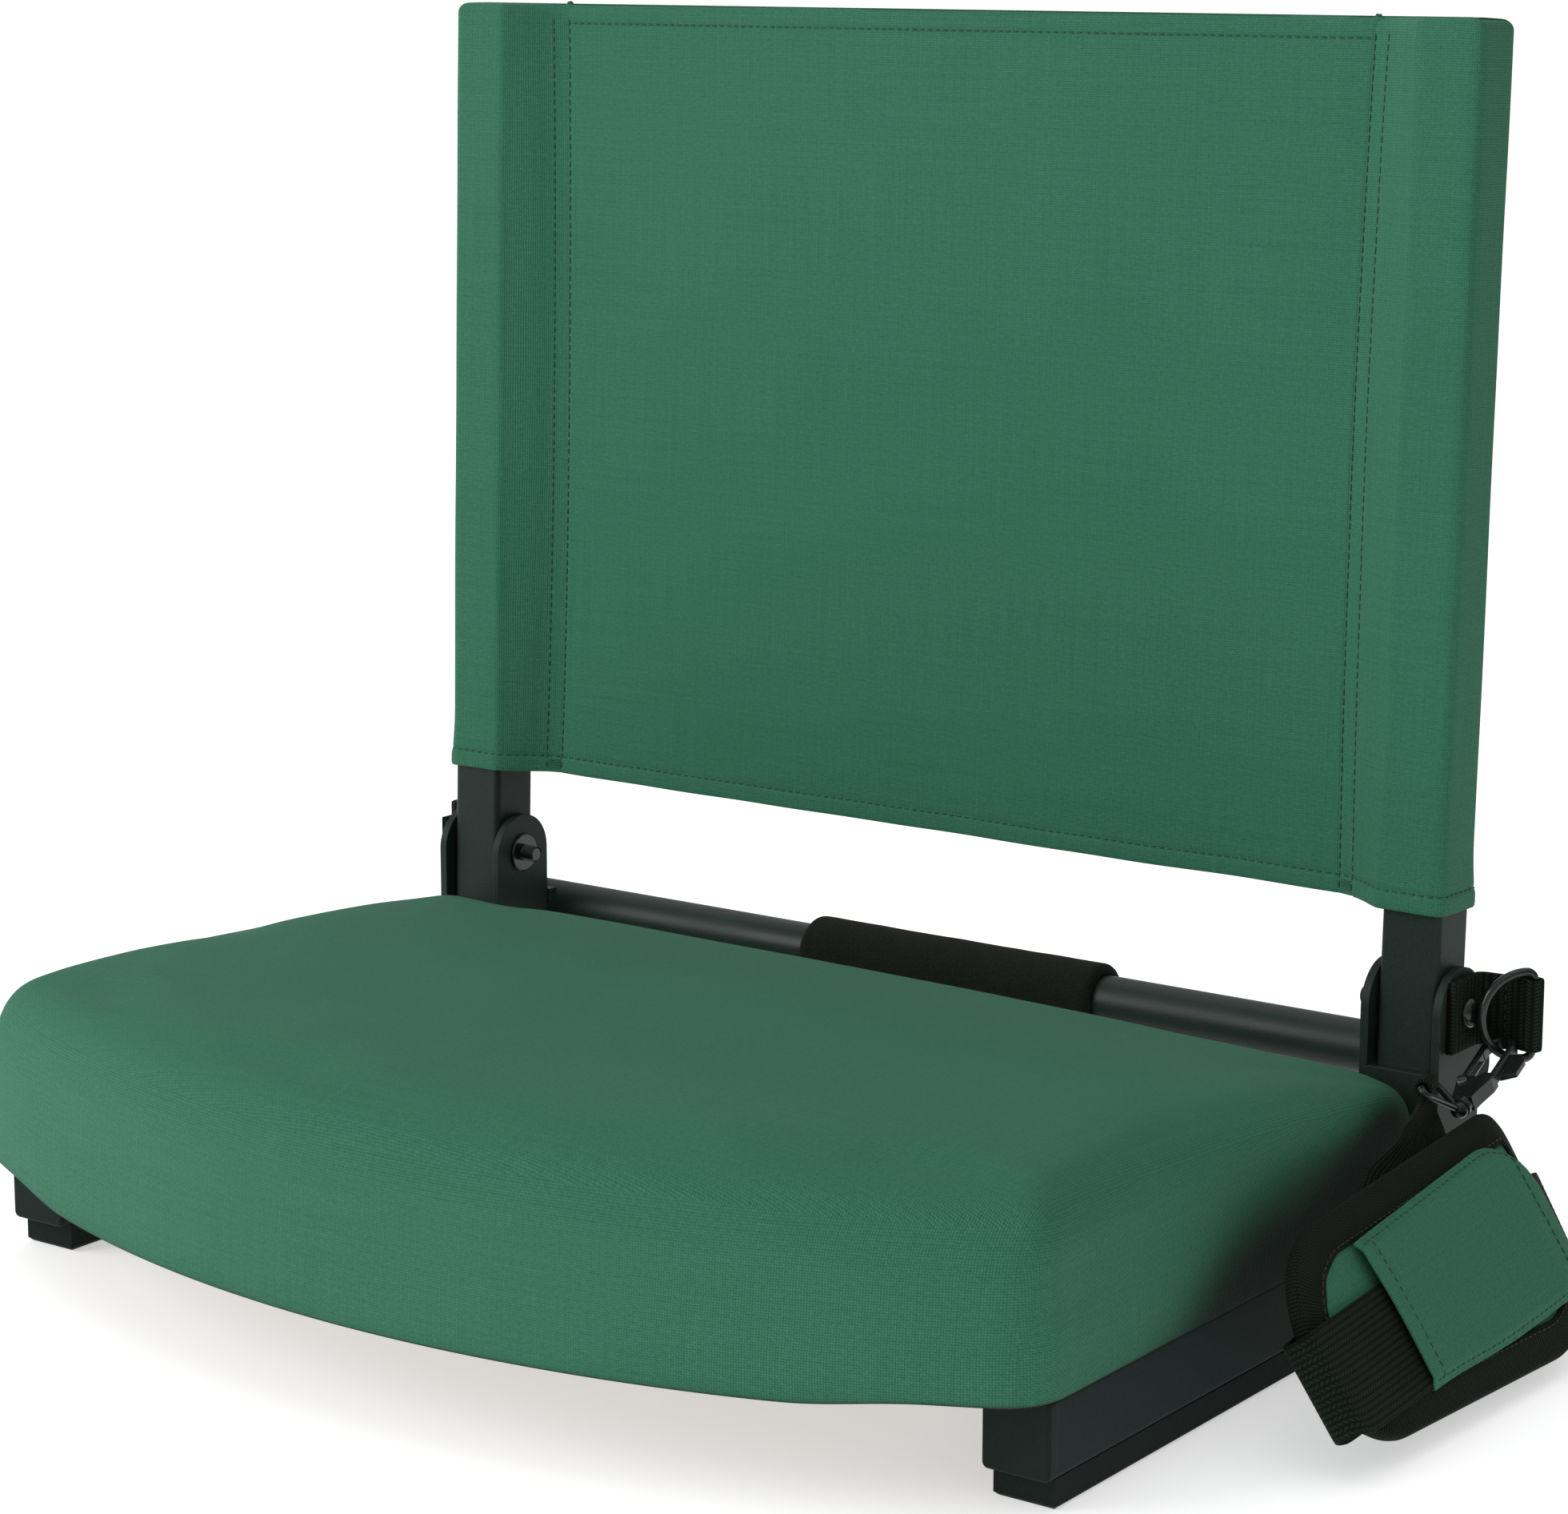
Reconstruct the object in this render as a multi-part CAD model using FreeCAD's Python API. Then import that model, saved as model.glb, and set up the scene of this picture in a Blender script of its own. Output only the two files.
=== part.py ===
import FreeCAD, Part
import math
import os

# Folding stadium seat: two floor rails with rubber runners, a padded seat bolted on top,
# hinge plates that carry two folding back uprights with a fabric sling, a rear grab bar
# with a foam grip, webbing tabs with D-rings and a carry strap clipped on the right.
# Millimetres.  X = across the seat, Y = towards the back, Z = up, floor at Z = 0.
# All dimensions below are measured from the seat's symmetry plane (X), the front of the
# uprights at floor level (Y) and the floor (Z); ORIGIN then moves the whole seat so that
# its bounding box stands centred on the origin.

V = FreeCAD.Vector

# ---------------------------------------------------------------- driving dimensions
ORIGIN_X, ORIGIN_Y = 23.82, -122.24

# floor rails (rectangular steel tube)
RAIL_IN, RAIL_OUT = 193.5, 217.5        # inner and outer face in X
RAIL_Z0, RAIL_Z1 = 10.0, 36.0
RAIL_Y0, RAIL_Y1 = -233.0, 27.0
RAIL_WALL = 1.5
CAP_FRONT, CAP_REAR = 4.5, 3.0          # flange thickness of the end caps
RUNNER_IN, RUNNER_OUT = 194.5, 216.5
RUNNER_Y0, RUNNER_Y1 = -232.0, 25.0

# hinge
PIVOT_Y, PIVOT_Z = 14.5, 100.0
PLATE_T = 3.0
PLATE_R = 15.0
PLATE_Z0 = 13.0
PLATE_IN = (190.5, 193.5)
PLATE_OUT = (217.5, 220.5)
BOLT_D = 6.0
BOLT_HOLE_D = 6.4
BUSH_ID, BUSH_OD = 6.1, 9.0
BUSH_FLANGE_OD, BUSH_FLANGE_T = 14.0, 0.7
HEAD_D, HEAD_H = 10.5, 3.3
CLINCH_D, CLINCH_T = 15.0, 1.2
THREAD_OUT = 7.0                        # bolt end standing out of the inner plate

# back uprights (square steel tube) and sling
LEAN = 1.85                             # backward lean in degrees
UP_IN, UP_OUT = 194.5, 216.5
UP_HALF = 11.0
UP_WALL = 1.5
UP_FOOT, UP_TOP = -20.5, 326.5          # along the upright from the pivot
UP_CAP_T = 2.0
SLING_Z0, SLING_Z1 = 34.0, 330.2
SLING_T = 1.2
SEAM_X = 175.0
PANEL_Y0, PANEL_Y1 = 0.8, 2.8

# grab bar
BAR_R, BAR_WALL = 9.5, 1.5
BAR_Z, BAR_HALF = 74.0, 214.0
BAR_Y = 29.5 + BAR_R
GRIP_R, GRIP_HALF = 13.5, 65.0

# seat pad
SEAT_HALF = 221.0
SEAT_REAR = -4.5
SEAT_FRONT_SIDE, SEAT_FRONT_MID = -247.0, -306.0
SEAT_Z0 = 36.0
SEAT_TOP = ((-4.5, 85.0), (-150.0, 97.5), (-306.0, 103.5))   # (Y, Z) of the top, rear to front: an arc
COVER_T = 1.2
BOARD_T = 9.0
CORNER_R, TOP_R = 20.0, 14.0
TAB_Y = (-60.0, -190.0)                 # seat fixing tabs along the rails

# webbing tabs and D-rings
TAB_T, TAB_H = 2.8, 25.0
TAB_ZC = 99.5
WIRE_R = 1.5
RING_R = 15.0
RING_Q = 3.5                            # straight of the D before its arc
RING_B = (241.5, 26.5)                  # right ring, bar axis
RING_DIR = (-0.64, -0.77)
RING_BL = (-237.0, 44.0)                # left ring, bar axis
RING_DIR_L = (0.5, 0.866)

# snap hook: where it hangs on the ring (degrees round the arc from its lowest point),
# the swivel knuckle, and the direction across the hook's flat
HOOK_AT = 36.0
KNUCKLE = V(236.0, -15.3, 75.2)
HOOK_W = V(0.991, -0.0035, 0.133)
EYE_RI, EYE_RO, HOOK_T = 3.7, 6.2, 4.4
GATE_PIVOT = (21.5, -3.8)
RIVET_R = 1.1

# strap loop corners, swivel knuckle first
LOOP_A = V(224.6, -13.2, 83.1)
LOOP_B = V(234.5, -42.2, 87.2)
LOOP_R = 1.25

# shoulder pad: local frame a = along, b = across (up), h = outward normal
PAD_FACE, PAD_RISE = 33.0, 4.0          # degrees: how far its face looks up, how far it climbs towards the back
PAD_C = 248.3
PAD_A0, PAD_BEND, PAD_PHI = -158.0, -24.0, 26.0
PAD_RB = 60.0
PAD_TOP = (-69.0, -69.0)                # upper edge in b, at the front end and at the rear end
PAD_LOW = (-136.5, -152.5)              # lower edge in b
PAD_R = (37.0, 28.0, 16.0, 50.0)        # corners: front upper, front lower, rear upper, rear lower
PAD_T = 7.0
BIND_W = 12.0
FLAP_A0, FLAP_B0, FLAP_B1 = -115.6, -134.0, -79.0
FLAP_PHI = 15.5
WEB_T = 1.6
WEB_B0, WEB_B1 = -131.4, -95.4


# ---------------------------------------------------------------- helpers
def box(x0, x1, y0, y1, z0, z1):
    return Part.makeBox(x1 - x0, y1 - y0, z1 - z0, V(x0, y0, z0))


def cyl(p, d, r, length):
    return Part.makeCylinder(r, length, p, d)


def tube_x(y, z, ro, ri, x0, x1):
    a = cyl(V(x0, y, z), V(1, 0, 0), ro, x1 - x0)
    return a.cut(cyl(V(x0 - 1, y, z), V(1, 0, 0), ri, x1 - x0 + 2))


def along(shape, axis):
    """edges of a shape that run parallel to one axis"""
    out = []
    for e in shape.Edges:
        if len(e.Vertexes) == 2:
            d = e.Vertexes[1].Point - e.Vertexes[0].Point
            if d.Length > 1e-6:
                d.normalize()
                if abs(abs(d.dot(axis)) - 1) < 1e-6:
                    out.append(e)
    return out


def rbox(x0, x1, y0, y1, z0, z1, axis, r):
    b = box(x0, x1, y0, y1, z0, z1)
    return b.makeFillet(r, along(b, axis))


def prism(pts, z0, z1):
    w = Part.makePolygon([V(x, y, z0) for x, y in pts] + [V(pts[0][0], pts[0][1], z0)])
    return Part.Face(w).extrude(V(0, 0, z1 - z0))


def fuse(shapes):
    s = shapes[0]
    if len(shapes) > 1:
        s = s.multiFuse(shapes[1:]).removeSplitter()
    return s


def mirror(s):
    return s.mirror(V(0, 0, 0), V(1, 0, 0))


def one(s):
    """the single solid in a boolean result"""
    return s.Solids[0] if len(s.Solids) == 1 else s


def frame_matrix(o, ex, ey, ez):
    return FreeCAD.Matrix(ex.x, ey.x, ez.x, o.x,
                          ex.y, ey.y, ez.y, o.y,
                          ex.z, ey.z, ez.z, o.z,
                          0, 0, 0, 1)


def place(s, m):
    return s.transformed(m)


PARTS = {}


def add(name, shape):
    PARTS[name] = shape


# ---------------------------------------------------------------- rails, caps, runners
def rail():
    o = rbox(RAIL_IN, RAIL_OUT, RAIL_Y0, RAIL_Y1, RAIL_Z0, RAIL_Z1, V(0, 1, 0), 2.2)
    i = rbox(RAIL_IN + RAIL_WALL, RAIL_OUT - RAIL_WALL, RAIL_Y0 - 1, RAIL_Y1 + 1,
             RAIL_Z0 + RAIL_WALL, RAIL_Z1 - RAIL_WALL, V(0, 1, 0), 0.9)
    return one(o.cut(i))


def rail_cap(front):
    g = RAIL_WALL + 0.1
    if front:
        y0, y1, p0, p1 = RAIL_Y0 - CAP_FRONT, RAIL_Y0, RAIL_Y0, RAIL_Y0 + 14
    else:
        y0, y1, p0, p1 = RAIL_Y1, RAIL_Y1 + CAP_REAR, RAIL_Y1 - 14, RAIL_Y1
    f = rbox(RAIL_IN, RAIL_OUT, y0, y1, RAIL_Z0, RAIL_Z1, V(0, 1, 0), 2.2)
    yo = y0 if front else y1
    rim = [e for e in f.Edges if all(abs(v.Y - yo) < 1e-6 for v in e.Vertexes)]
    f = f.makeFillet(1.2, rim)
    p = rbox(RAIL_IN + g, RAIL_OUT - g, p0, p1, RAIL_Z0 + g, RAIL_Z1 - g, V(0, 1, 0), 0.9)
    return one(fuse([f, p]))


def runner():
    b = box(RUNNER_IN, RUNNER_OUT, RUNNER_Y0, RUNNER_Y1, 0, RAIL_Z0)
    ends = [e for e in b.Edges if all(abs(v.Z) < 1e-6 for v in e.Vertexes)]
    b = b.makeChamfer(1.2, ends)
    return b


r = rail()
add("side_rail_right", r)
add("side_rail_left", mirror(r))
fc, rc = rail_cap(True), rail_cap(False)
add("rail_front_cap_right", fc)
add("rail_front_cap_left", mirror(fc))
add("rail_rear_cap_right", rc)
add("rail_rear_cap_left", mirror(rc))
ru = runner()
add("runner_right", ru)
add("runner_left", mirror(ru))

# ---------------------------------------------------------------- hinge plates, stops, grab bar
PLATE_Y0, PLATE_Y1 = PIVOT_Y - PLATE_R, PIVOT_Y + PLATE_R


def plate(x0, x1):
    b = box(x0, x1, PLATE_Y0, PLATE_Y1, PLATE_Z0, PIVOT_Z)
    t = cyl(V(x0, PIVOT_Y, PIVOT_Z), V(1, 0, 0), PLATE_R, x1 - x0)
    s = fuse([b, t])
    s = s.cut(cyl(V(x0 - 1, PIVOT_Y, PIVOT_Z), V(1, 0, 0), BOLT_HOLE_D / 2, x1 - x0 + 2))
    return one(s)


po, pi = plate(*PLATE_OUT), plate(*PLATE_IN)
add("hinge_plate_right_outer", po)
add("hinge_plate_right_inner", pi)
add("hinge_plate_left_outer", mirror(po))
add("hinge_plate_left_inner", mirror(pi))

# recline stop: a flat bar welded between the two plates in front of the upright's foot
stop = box(RAIL_IN, RAIL_OUT, PLATE_Y0, 2.1, 58.0, 80.0)
add("recline_stop_right", stop)
add("recline_stop_left", mirror(stop))

add("grab_bar", one(tube_x(BAR_Y, BAR_Z, BAR_R, BAR_R - BAR_WALL, -BAR_HALF, BAR_HALF)))


def bar_plug():
    f = cyl(V(BAR_HALF, BAR_Y, BAR_Z), V(1, 0, 0), BAR_R, 1.5)
    rim = [e for e in f.Edges if abs(e.BoundBox.XMin - (BAR_HALF + 1.5)) < 1e-6 and abs(e.BoundBox.XMax - (BAR_HALF + 1.5)) < 1e-6]
    f = f.makeFillet(0.8, rim)
    p = cyl(V(BAR_HALF - 12, BAR_Y, BAR_Z), V(1, 0, 0), BAR_R - BAR_WALL - 0.1, 12)
    return one(fuse([f, p]))


bp = bar_plug()
add("grab_bar_plugs", Part.makeCompound([bp, mirror(bp)]))

# weld beads between the bar and the rear edges of the inner plates
barsolid = cyl(V(-BAR_HALF, BAR_Y, BAR_Z), V(1, 0, 0), BAR_R, 2 * BAR_HALF)
beads = []
for s in (1, -1):
    zz = (BAR_Z + 3.5, BAR_Z + 8.3) if s > 0 else (BAR_Z - 8.3, BAR_Z - 3.5)
    b = box(PLATE_IN[0] - 1.2, PLATE_IN[1] + 1.2, PLATE_Y1, PLATE_Y1 + 4.2, zz[0], zz[1]).cut(barsolid)
    beads += [b.Solids[0], mirror(b.Solids[0])]
add("grab_bar_welds", Part.makeCompound(beads))
grip = tube_x(BAR_Y, BAR_Z, GRIP_R, BAR_R + 0.05, -GRIP_HALF, GRIP_HALF)
rim = [e for e in grip.Edges if e.Curve.TypeId == "Part::GeomCircle" and abs(e.Curve.Radius - GRIP_R) < 1e-6]
add("foam_grip", one(grip.makeFillet(2.5, rim)))


# ---------------------------------------------------------------- seat pad
def seat_outline(d):
    k = SEAT_FRONT_SIDE - SEAT_FRONT_MID
    rad = (SEAT_HALF ** 2 + k ** 2) / (2 * k)
    yc = SEAT_FRONT_MID + rad
    x, rr = SEAT_HALF - d, rad - d
    yf = yc - math.sqrt(rr ** 2 - x ** 2)
    yb = SEAT_REAR - d
    return x, yb, yf, yc - rr


def seat_solid(d, z0, z1, rv):
    x, yb, yf, ym = seat_outline(d)
    p1, p2, p3, p4 = V(x, yb, z0), V(-x, yb, z0), V(-x, yf, z0), V(x, yf, z0)
    w = Part.Wire([Part.LineSegment(p1, p2).toShape(), Part.LineSegment(p2, p3).toShape(),
                   Part.Arc(p3, V(0, ym, z0), p4).toShape(), Part.LineSegment(p4, p1).toShape()])
    s = Part.Face(w).extrude(V(0, 0, z1 - z0))
    return s.makeFillet(rv, along(s, V(0, 0, 1)))


TOP_ARC = Part.Arc(*[V(0, y, z) for y, z in SEAT_TOP]).toShape().Curve
TOP_C, TOP_RAD = TOP_ARC.Center, TOP_ARC.Radius


def seat_wedge(d, z0, rv, rt):
    """seat outline from z0 up to the arched top, both set in by d, with a rounded rim"""
    s = seat_solid(d, z0, 130.0, rv)
    s = s.common(cyl(V(-260, TOP_C.y, TOP_C.z), V(1, 0, 0), TOP_RAD - d, 520))
    s = one(s)
    rim = []
    for e in s.Edges:
        m = e.valueAt((e.FirstParameter + e.LastParameter) / 2)
        if all(abs(math.hypot(q.y - TOP_C.y, q.z - TOP_C.z) - (TOP_RAD - d)) < 1e-3 for q in [m] + [v.Point for v in e.Vertexes]):
            rim.append(e)
    return s.makeFillet(rt, rim)


cover = seat_wedge(0, SEAT_Z0, CORNER_R, TOP_R)
cavity = seat_wedge(COVER_T, SEAT_Z0 + COVER_T, CORNER_R - COVER_T, TOP_R - COVER_T)
mouth = seat_solid(26.0, SEAT_Z0 - 1, SEAT_Z0 + COVER_T + 0.5, 12.0)
add("seat_cover", one(cover.cut(cavity).cut(mouth)))

BOARD_Z0 = SEAT_Z0 + COVER_T
BOARD_Z1 = BOARD_Z0 + BOARD_T
board = seat_solid(COVER_T + 0.2, BOARD_Z0, BOARD_Z1, CORNER_R - COVER_T - 0.2)
foam = seat_wedge(COVER_T + 0.2, BOARD_Z1, CORNER_R - COVER_T - 0.2, TOP_R - COVER_T - 0.2)
add("seat_foam", one(foam))

# fixing tabs welded to the inside of the rails, screwed up into the board
tabs, screws = [], []
TAB_Z0 = BOARD_Z0 - 3.0
for sx in (1, -1):
    for y in TAB_Y:
        xa, xb = (171.5, RAIL_IN) if sx > 0 else (-RAIL_IN, -171.5)
        t = rbox(xa, xb, y - 14, y + 14, TAB_Z0, BOARD_Z0, V(0, 0, 1), 2.5)
        xc = sx * 181.0
        t = t.cut(cyl(V(xc, y, TAB_Z0 - 1), V(0, 0, 1), 2.7, 6))
        tabs.append(one(t))
        board = board.cut(cyl(V(xc, y, BOARD_Z0 - 1), V(0, 0, 1), 2.5, 8.5))
        head = cyl(V(xc, y, TAB_Z0 - 2.6), V(0, 0, 1), 4.6, 2.6)
        he = [e for e in head.Edges if abs(e.BoundBox.ZMax - (TAB_Z0 - 2.6)) < 1e-6]
        head = head.makeFillet(1.6, he)
        head = head.cut(box(xc - 3.2, xc + 3.2, y - 0.5, y + 0.5, TAB_Z0 - 3, TAB_Z0 - 1.5))
        head = head.cut(box(xc - 0.5, xc + 0.5, y - 3.2, y + 3.2, TAB_Z0 - 3, TAB_Z0 - 1.5))
        shank = cyl(V(xc, y, TAB_Z0), V(0, 0, 1), 2.45, 10.0)
        screws.append(one(fuse([head, shank])))
add("seat_board", one(board))
add("seat_fixing_tabs", Part.makeCompound(tabs))
add("seat_screws", Part.makeCompound(screws))

# staples that hold the turned-in cover to the board, clear of the rails
staples = []
xs = [-160 + 40 * i for i in range(9)]
k_ = SEAT_FRONT_SIDE - SEAT_FRONT_MID
rad_ = (SEAT_HALF ** 2 + k_ ** 2) / (2 * k_)
for x in xs:
    for y in (SEAT_REAR - 13.0, SEAT_FRONT_MID + rad_ - math.sqrt((rad_ - 13.0) ** 2 - x ** 2)):
        crown = box(x - 5, x + 5, y - 0.6, y + 0.6, SEAT_Z0 - 0.6, SEAT_Z0)
        l1 = box(x - 5, x - 4, y - 0.5, y + 0.5, SEAT_Z0, SEAT_Z0 + 6)
        l2 = box(x + 4, x + 5, y - 0.5, y + 0.5, SEAT_Z0, SEAT_Z0 + 6)
        staples.append(one(fuse([crown, l1, l2])))
add("cover_staples", Part.makeCompound(staples))


# ---------------------------------------------------------------- backrest (local to the pivot, then leaned)
def lean(s):
    s = s.copy()
    s.rotate(V(0, 0, 0), V(1, 0, 0), -LEAN)
    s.translate(V(0, PIVOT_Y, PIVOT_Z))
    return s


def upright():
    o = rbox(UP_IN, UP_OUT, -UP_HALF, UP_HALF, UP_FOOT, UP_TOP, V(0, 0, 1), 2.4)
    i = rbox(UP_IN + UP_WALL, UP_OUT - UP_WALL, -UP_HALF + UP_WALL, UP_HALF - UP_WALL,
             UP_FOOT - 1, UP_TOP + 1, V(0, 0, 1), 0.9)
    s = o.cut(i)
    s = s.cut(cyl(V(UP_IN - 1, 0, 0), V(1, 0, 0), BUSH_OD / 2, UP_OUT - UP_IN + 2))
    return one(s)


def upright_cap(top):
    g = UP_WALL + 0.1
    if top:
        z0, z1, p0, p1 = UP_TOP, UP_TOP + UP_CAP_T, UP_TOP - 12, UP_TOP
    else:
        z0, z1, p0, p1 = UP_FOOT - UP_CAP_T, UP_FOOT, UP_FOOT, UP_FOOT + 9
    f = rbox(UP_IN, UP_OUT, -UP_HALF, UP_HALF, z0, z1, V(0, 0, 1), 2.4)
    zo = z1 if top else z0
    f = f.makeFillet(0.9, [e for e in f.Edges if all(abs(v.Z - zo) < 1e-6 for v in e.Vertexes)])
    p = rbox(UP_IN + g, UP_OUT - g, -UP_HALF + g, UP_HALF - g, p0, p1, V(0, 0, 1), 0.9)
    return one(fuse([f, p]))


u = lean(upright())
add("back_upright_right", u)
add("back_upright_left", mirror(u))
ct, cb = lean(upright_cap(True)), lean(upright_cap(False))
add("upright_top_caps", Part.makeCompound([ct, mirror(ct)]))
add("upright_foot_caps", Part.makeCompound([cb, mirror(cb)]))


def bush(outer):
    ln = 6.0
    if outer:
        x0, xf = UP_OUT - ln, UP_OUT
    else:
        x0, xf = UP_IN, UP_IN - BUSH_FLANGE_T
    b = cyl(V(x0, 0, 0), V(1, 0, 0), BUSH_OD / 2 - 0.01, ln)
    f = cyl(V(xf, 0, 0), V(1, 0, 0), BUSH_FLANGE_OD / 2, BUSH_FLANGE_T)
    s = fuse([b, f])
    return one(s.cut(cyl(V(UP_IN - 5, 0, 0), V(1, 0, 0), BUSH_ID / 2, 40)))


bs = []
for outer in (True, False):
    b = lean(bush(outer))
    bs += [b, mirror(b)]
add("pivot_bushes", Part.makeCompound(bs))


def sling():
    xo, xi = UP_OUT + SLING_T, UP_IN - SLING_T
    yo = UP_HALF + SLING_T
    outer = [(-xo, -yo), (-xi - 1.0, -yo), (-SEAM_X, PANEL_Y0), (SEAM_X, PANEL_Y0), (xi + 1.0, -yo), (xo, -yo),
             (xo, yo), (xi + 1.0, yo), (SEAM_X, PANEL_Y1), (-SEAM_X, PANEL_Y1), (-xi - 1.0, yo), (-xo, yo)]
    o = prism(outer, SLING_Z0, SLING_Z1)
    o = o.makeFillet(2.0, [e for e in along(o, V(0, 0, 1)) if abs(abs(e.Vertexes[0].X) - xo) < 1e-6])
    ym = (PANEL_Y0 + PANEL_Y1) / 2
    inner = [(SEAM_X + 3.0, ym), (UP_IN + 0.3, -UP_HALF), (UP_OUT, -UP_HALF), (UP_OUT, UP_HALF), (UP_IN + 0.3, UP_HALF)]
    i = prism(inner, SLING_Z0 - 1, UP_TOP + UP_CAP_T + 0.2)
    i2 = box(UP_IN, UP_OUT, -UP_HALF, UP_HALF, SLING_Z0 - 1, UP_TOP + UP_CAP_T + 0.2)
    i = fuse([i, i2])
    return one(o.cut(i).cut(mirror(i)))


add("back_sling", lean(sling()))


# ---------------------------------------------------------------- pivot bolts and clinch nuts
def pivot_bolt():
    x0 = PLATE_IN[0] - THREAD_OUT
    xh = PLATE_OUT[1] + TAB_T
    s = cyl(V(x0, PIVOT_Y, PIVOT_Z), V(1, 0, 0), BOLT_D / 2, xh - x0)
    end = [e for e in s.Edges if abs(e.BoundBox.XMax - x0) < 1e-6]
    s = s.makeChamfer(0.6, end)
    h = cyl(V(xh, PIVOT_Y, PIVOT_Z), V(1, 0, 0), HEAD_D / 2, HEAD_H)
    rim = [e for e in h.Edges if abs(e.BoundBox.XMin - (xh + HEAD_H)) < 1e-6]
    h = h.makeFillet(2.9, rim)
    n = 6
    hexa = Part.makePolygon([V(xh + HEAD_H - 1.8, PIVOT_Y + 2.3 * math.cos(math.pi * k / 3), PIVOT_Z + 2.3 * math.sin(math.pi * k / 3)) for k in range(n + 1)])
    h = h.cut(Part.Face(hexa).extrude(V(3, 0, 0)))
    return one(fuse([s, h]))


pb = pivot_bolt()
add("pivot_bolt_right", pb)
add("pivot_bolt_left", mirror(pb))
cn = tube_x(PIVOT_Y, PIVOT_Z, CLINCH_D / 2, BOLT_D / 2 + 0.1, PLATE_IN[0] - CLINCH_T, PLATE_IN[0])
rim = [e for e in cn.Edges if e.Curve.TypeId == "Part::GeomCircle" and abs(e.Curve.Radius - CLINCH_D / 2) < 1e-6 and abs(e.BoundBox.XMin - (PLATE_IN[0] - CLINCH_T)) < 1e-6]
cn = one(cn.makeFillet(0.5, rim))
add("clinch_nuts", Part.makeCompound([cn, mirror(cn)]))


# ---------------------------------------------------------------- webbing tabs and D-rings
def band(pts, t, z0, z1):
    """strip of webbing standing on edge along a plan polyline"""
    out = []
    for (x0, y0), (x1, y1) in zip(pts[:-1], pts[1:]):
        d = V(x1 - x0, y1 - y0, 0)
        ln = d.Length
        d.normalize()
        nx, ny = -d.y * t / 2, d.x * t / 2
        out.append(prism([(x0 + nx, y0 + ny), (x0 - nx, y0 - ny), (x1 - nx, y1 - ny), (x1 + nx, y1 + ny)], z0, z1))
    for x, y in pts[1:-1]:
        out.append(cyl(V(x, y, z0), V(0, 0, 1), t / 2, z1 - z0))
    return out


def web_tab(pts, b):
    z0, z1 = TAB_ZC - TAB_H / 2, TAB_ZC + TAB_H / 2
    s = band(pts, TAB_T, z0, z1)
    s.append(cyl(V(b[0], b[1], z0), V(0, 0, 1), WIRE_R + 1.9, z1 - z0))
    s = fuse(s)
    s = s.cut(cyl(V(b[0], b[1], z0 - 1), V(0, 0, 1), WIRE_R + 0.4, z1 - z0 + 2))
    s = s.cut(cyl(V(-230, PIVOT_Y, PIVOT_Z), V(1, 0, 0), BOLT_HOLE_D / 2, 15))
    s = s.cut(cyl(V(215, PIVOT_Y, PIVOT_Z), V(1, 0, 0), BOLT_HOLE_D / 2, 15))
    return one(s)


XT = PLATE_OUT[1] + TAB_T / 2
add("web_tab_right", web_tab([(XT, 4.0), (XT, 24.5), (RING_B[0] - 2.4, RING_B[1])], RING_B))
add("web_tab_left", web_tab([(-XT, 4.0), (-XT, 25.0), (-239.4, 28.5), (RING_BL[0], RING_BL[1] - 2.4)], RING_BL))


def wire_path(pts, radii):
    """closed wire of straight runs and tangent arcs through filleted corners"""
    n = len(pts)
    edges, ends = [], []
    for i in range(n):
        p, a, b = pts[i], pts[i - 1], pts[(i + 1) % n]
        d1, d2 = (a - p), (b - p)
        d1.normalize()
        d2.normalize()
        ang = math.acos(max(-1, min(1, d1.dot(d2))))
        tl = radii[i] / math.tan(ang / 2)
        bis = d1 + d2
        bis.normalize()
        c = p + bis * (radii[i] / math.sin(ang / 2))
        ends.append((p + d1 * tl, c - bis * radii[i], p + d2 * tl))
    for i in range(n):
        s, m, e = ends[i]
        edges.append(Part.Arc(s, m, e).toShape())
        nx = ends[(i + 1) % n][0]
        if (nx - e).Length > 1e-4:
            edges.append(Part.LineSegment(e, nx).toShape())
    return edges


def sweep(edges, r):
    w = Part.Wire(edges)
    e = edges[0]
    p = e.valueAt(e.FirstParameter)
    t = e.tangentAt(e.FirstParameter)
    prof = Part.Wire([Part.Circle(p, t, r).toShape()])
    return w.makePipeShell([prof], True, False)


def d_ring(b, d):
    dv = V(d[0], d[1], 0)
    dv.normalize()
    o = V(b[0], b[1], TAB_ZC)

    def P(s, z):
        return o + dv * s + V(0, 0, z)

    c, q = 3.0, RING_Q
    k = math.sqrt(0.5)
    ed = [Part.LineSegment(P(0, -RING_R + c), P(0, RING_R - c)).toShape(),
          Part.Arc(P(0, RING_R - c), P(c - c * k, RING_R - c + c * k), P(c, RING_R)).toShape(),
          Part.LineSegment(P(c, RING_R), P(q, RING_R)).toShape(),
          Part.Arc(P(q, RING_R), P(q + RING_R, 0), P(q, -RING_R)).toShape(),
          Part.LineSegment(P(q, -RING_R), P(c, -RING_R)).toShape(),
          Part.Arc(P(c, -RING_R), P(c - c * k, -RING_R + c - c * k), P(0, -RING_R + c)).toShape()]
    return one(sweep(ed, WIRE_R))


add("d_ring_right", d_ring(RING_B, RING_DIR))
add("d_ring_left", d_ring(RING_BL, RING_DIR_L))

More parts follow.
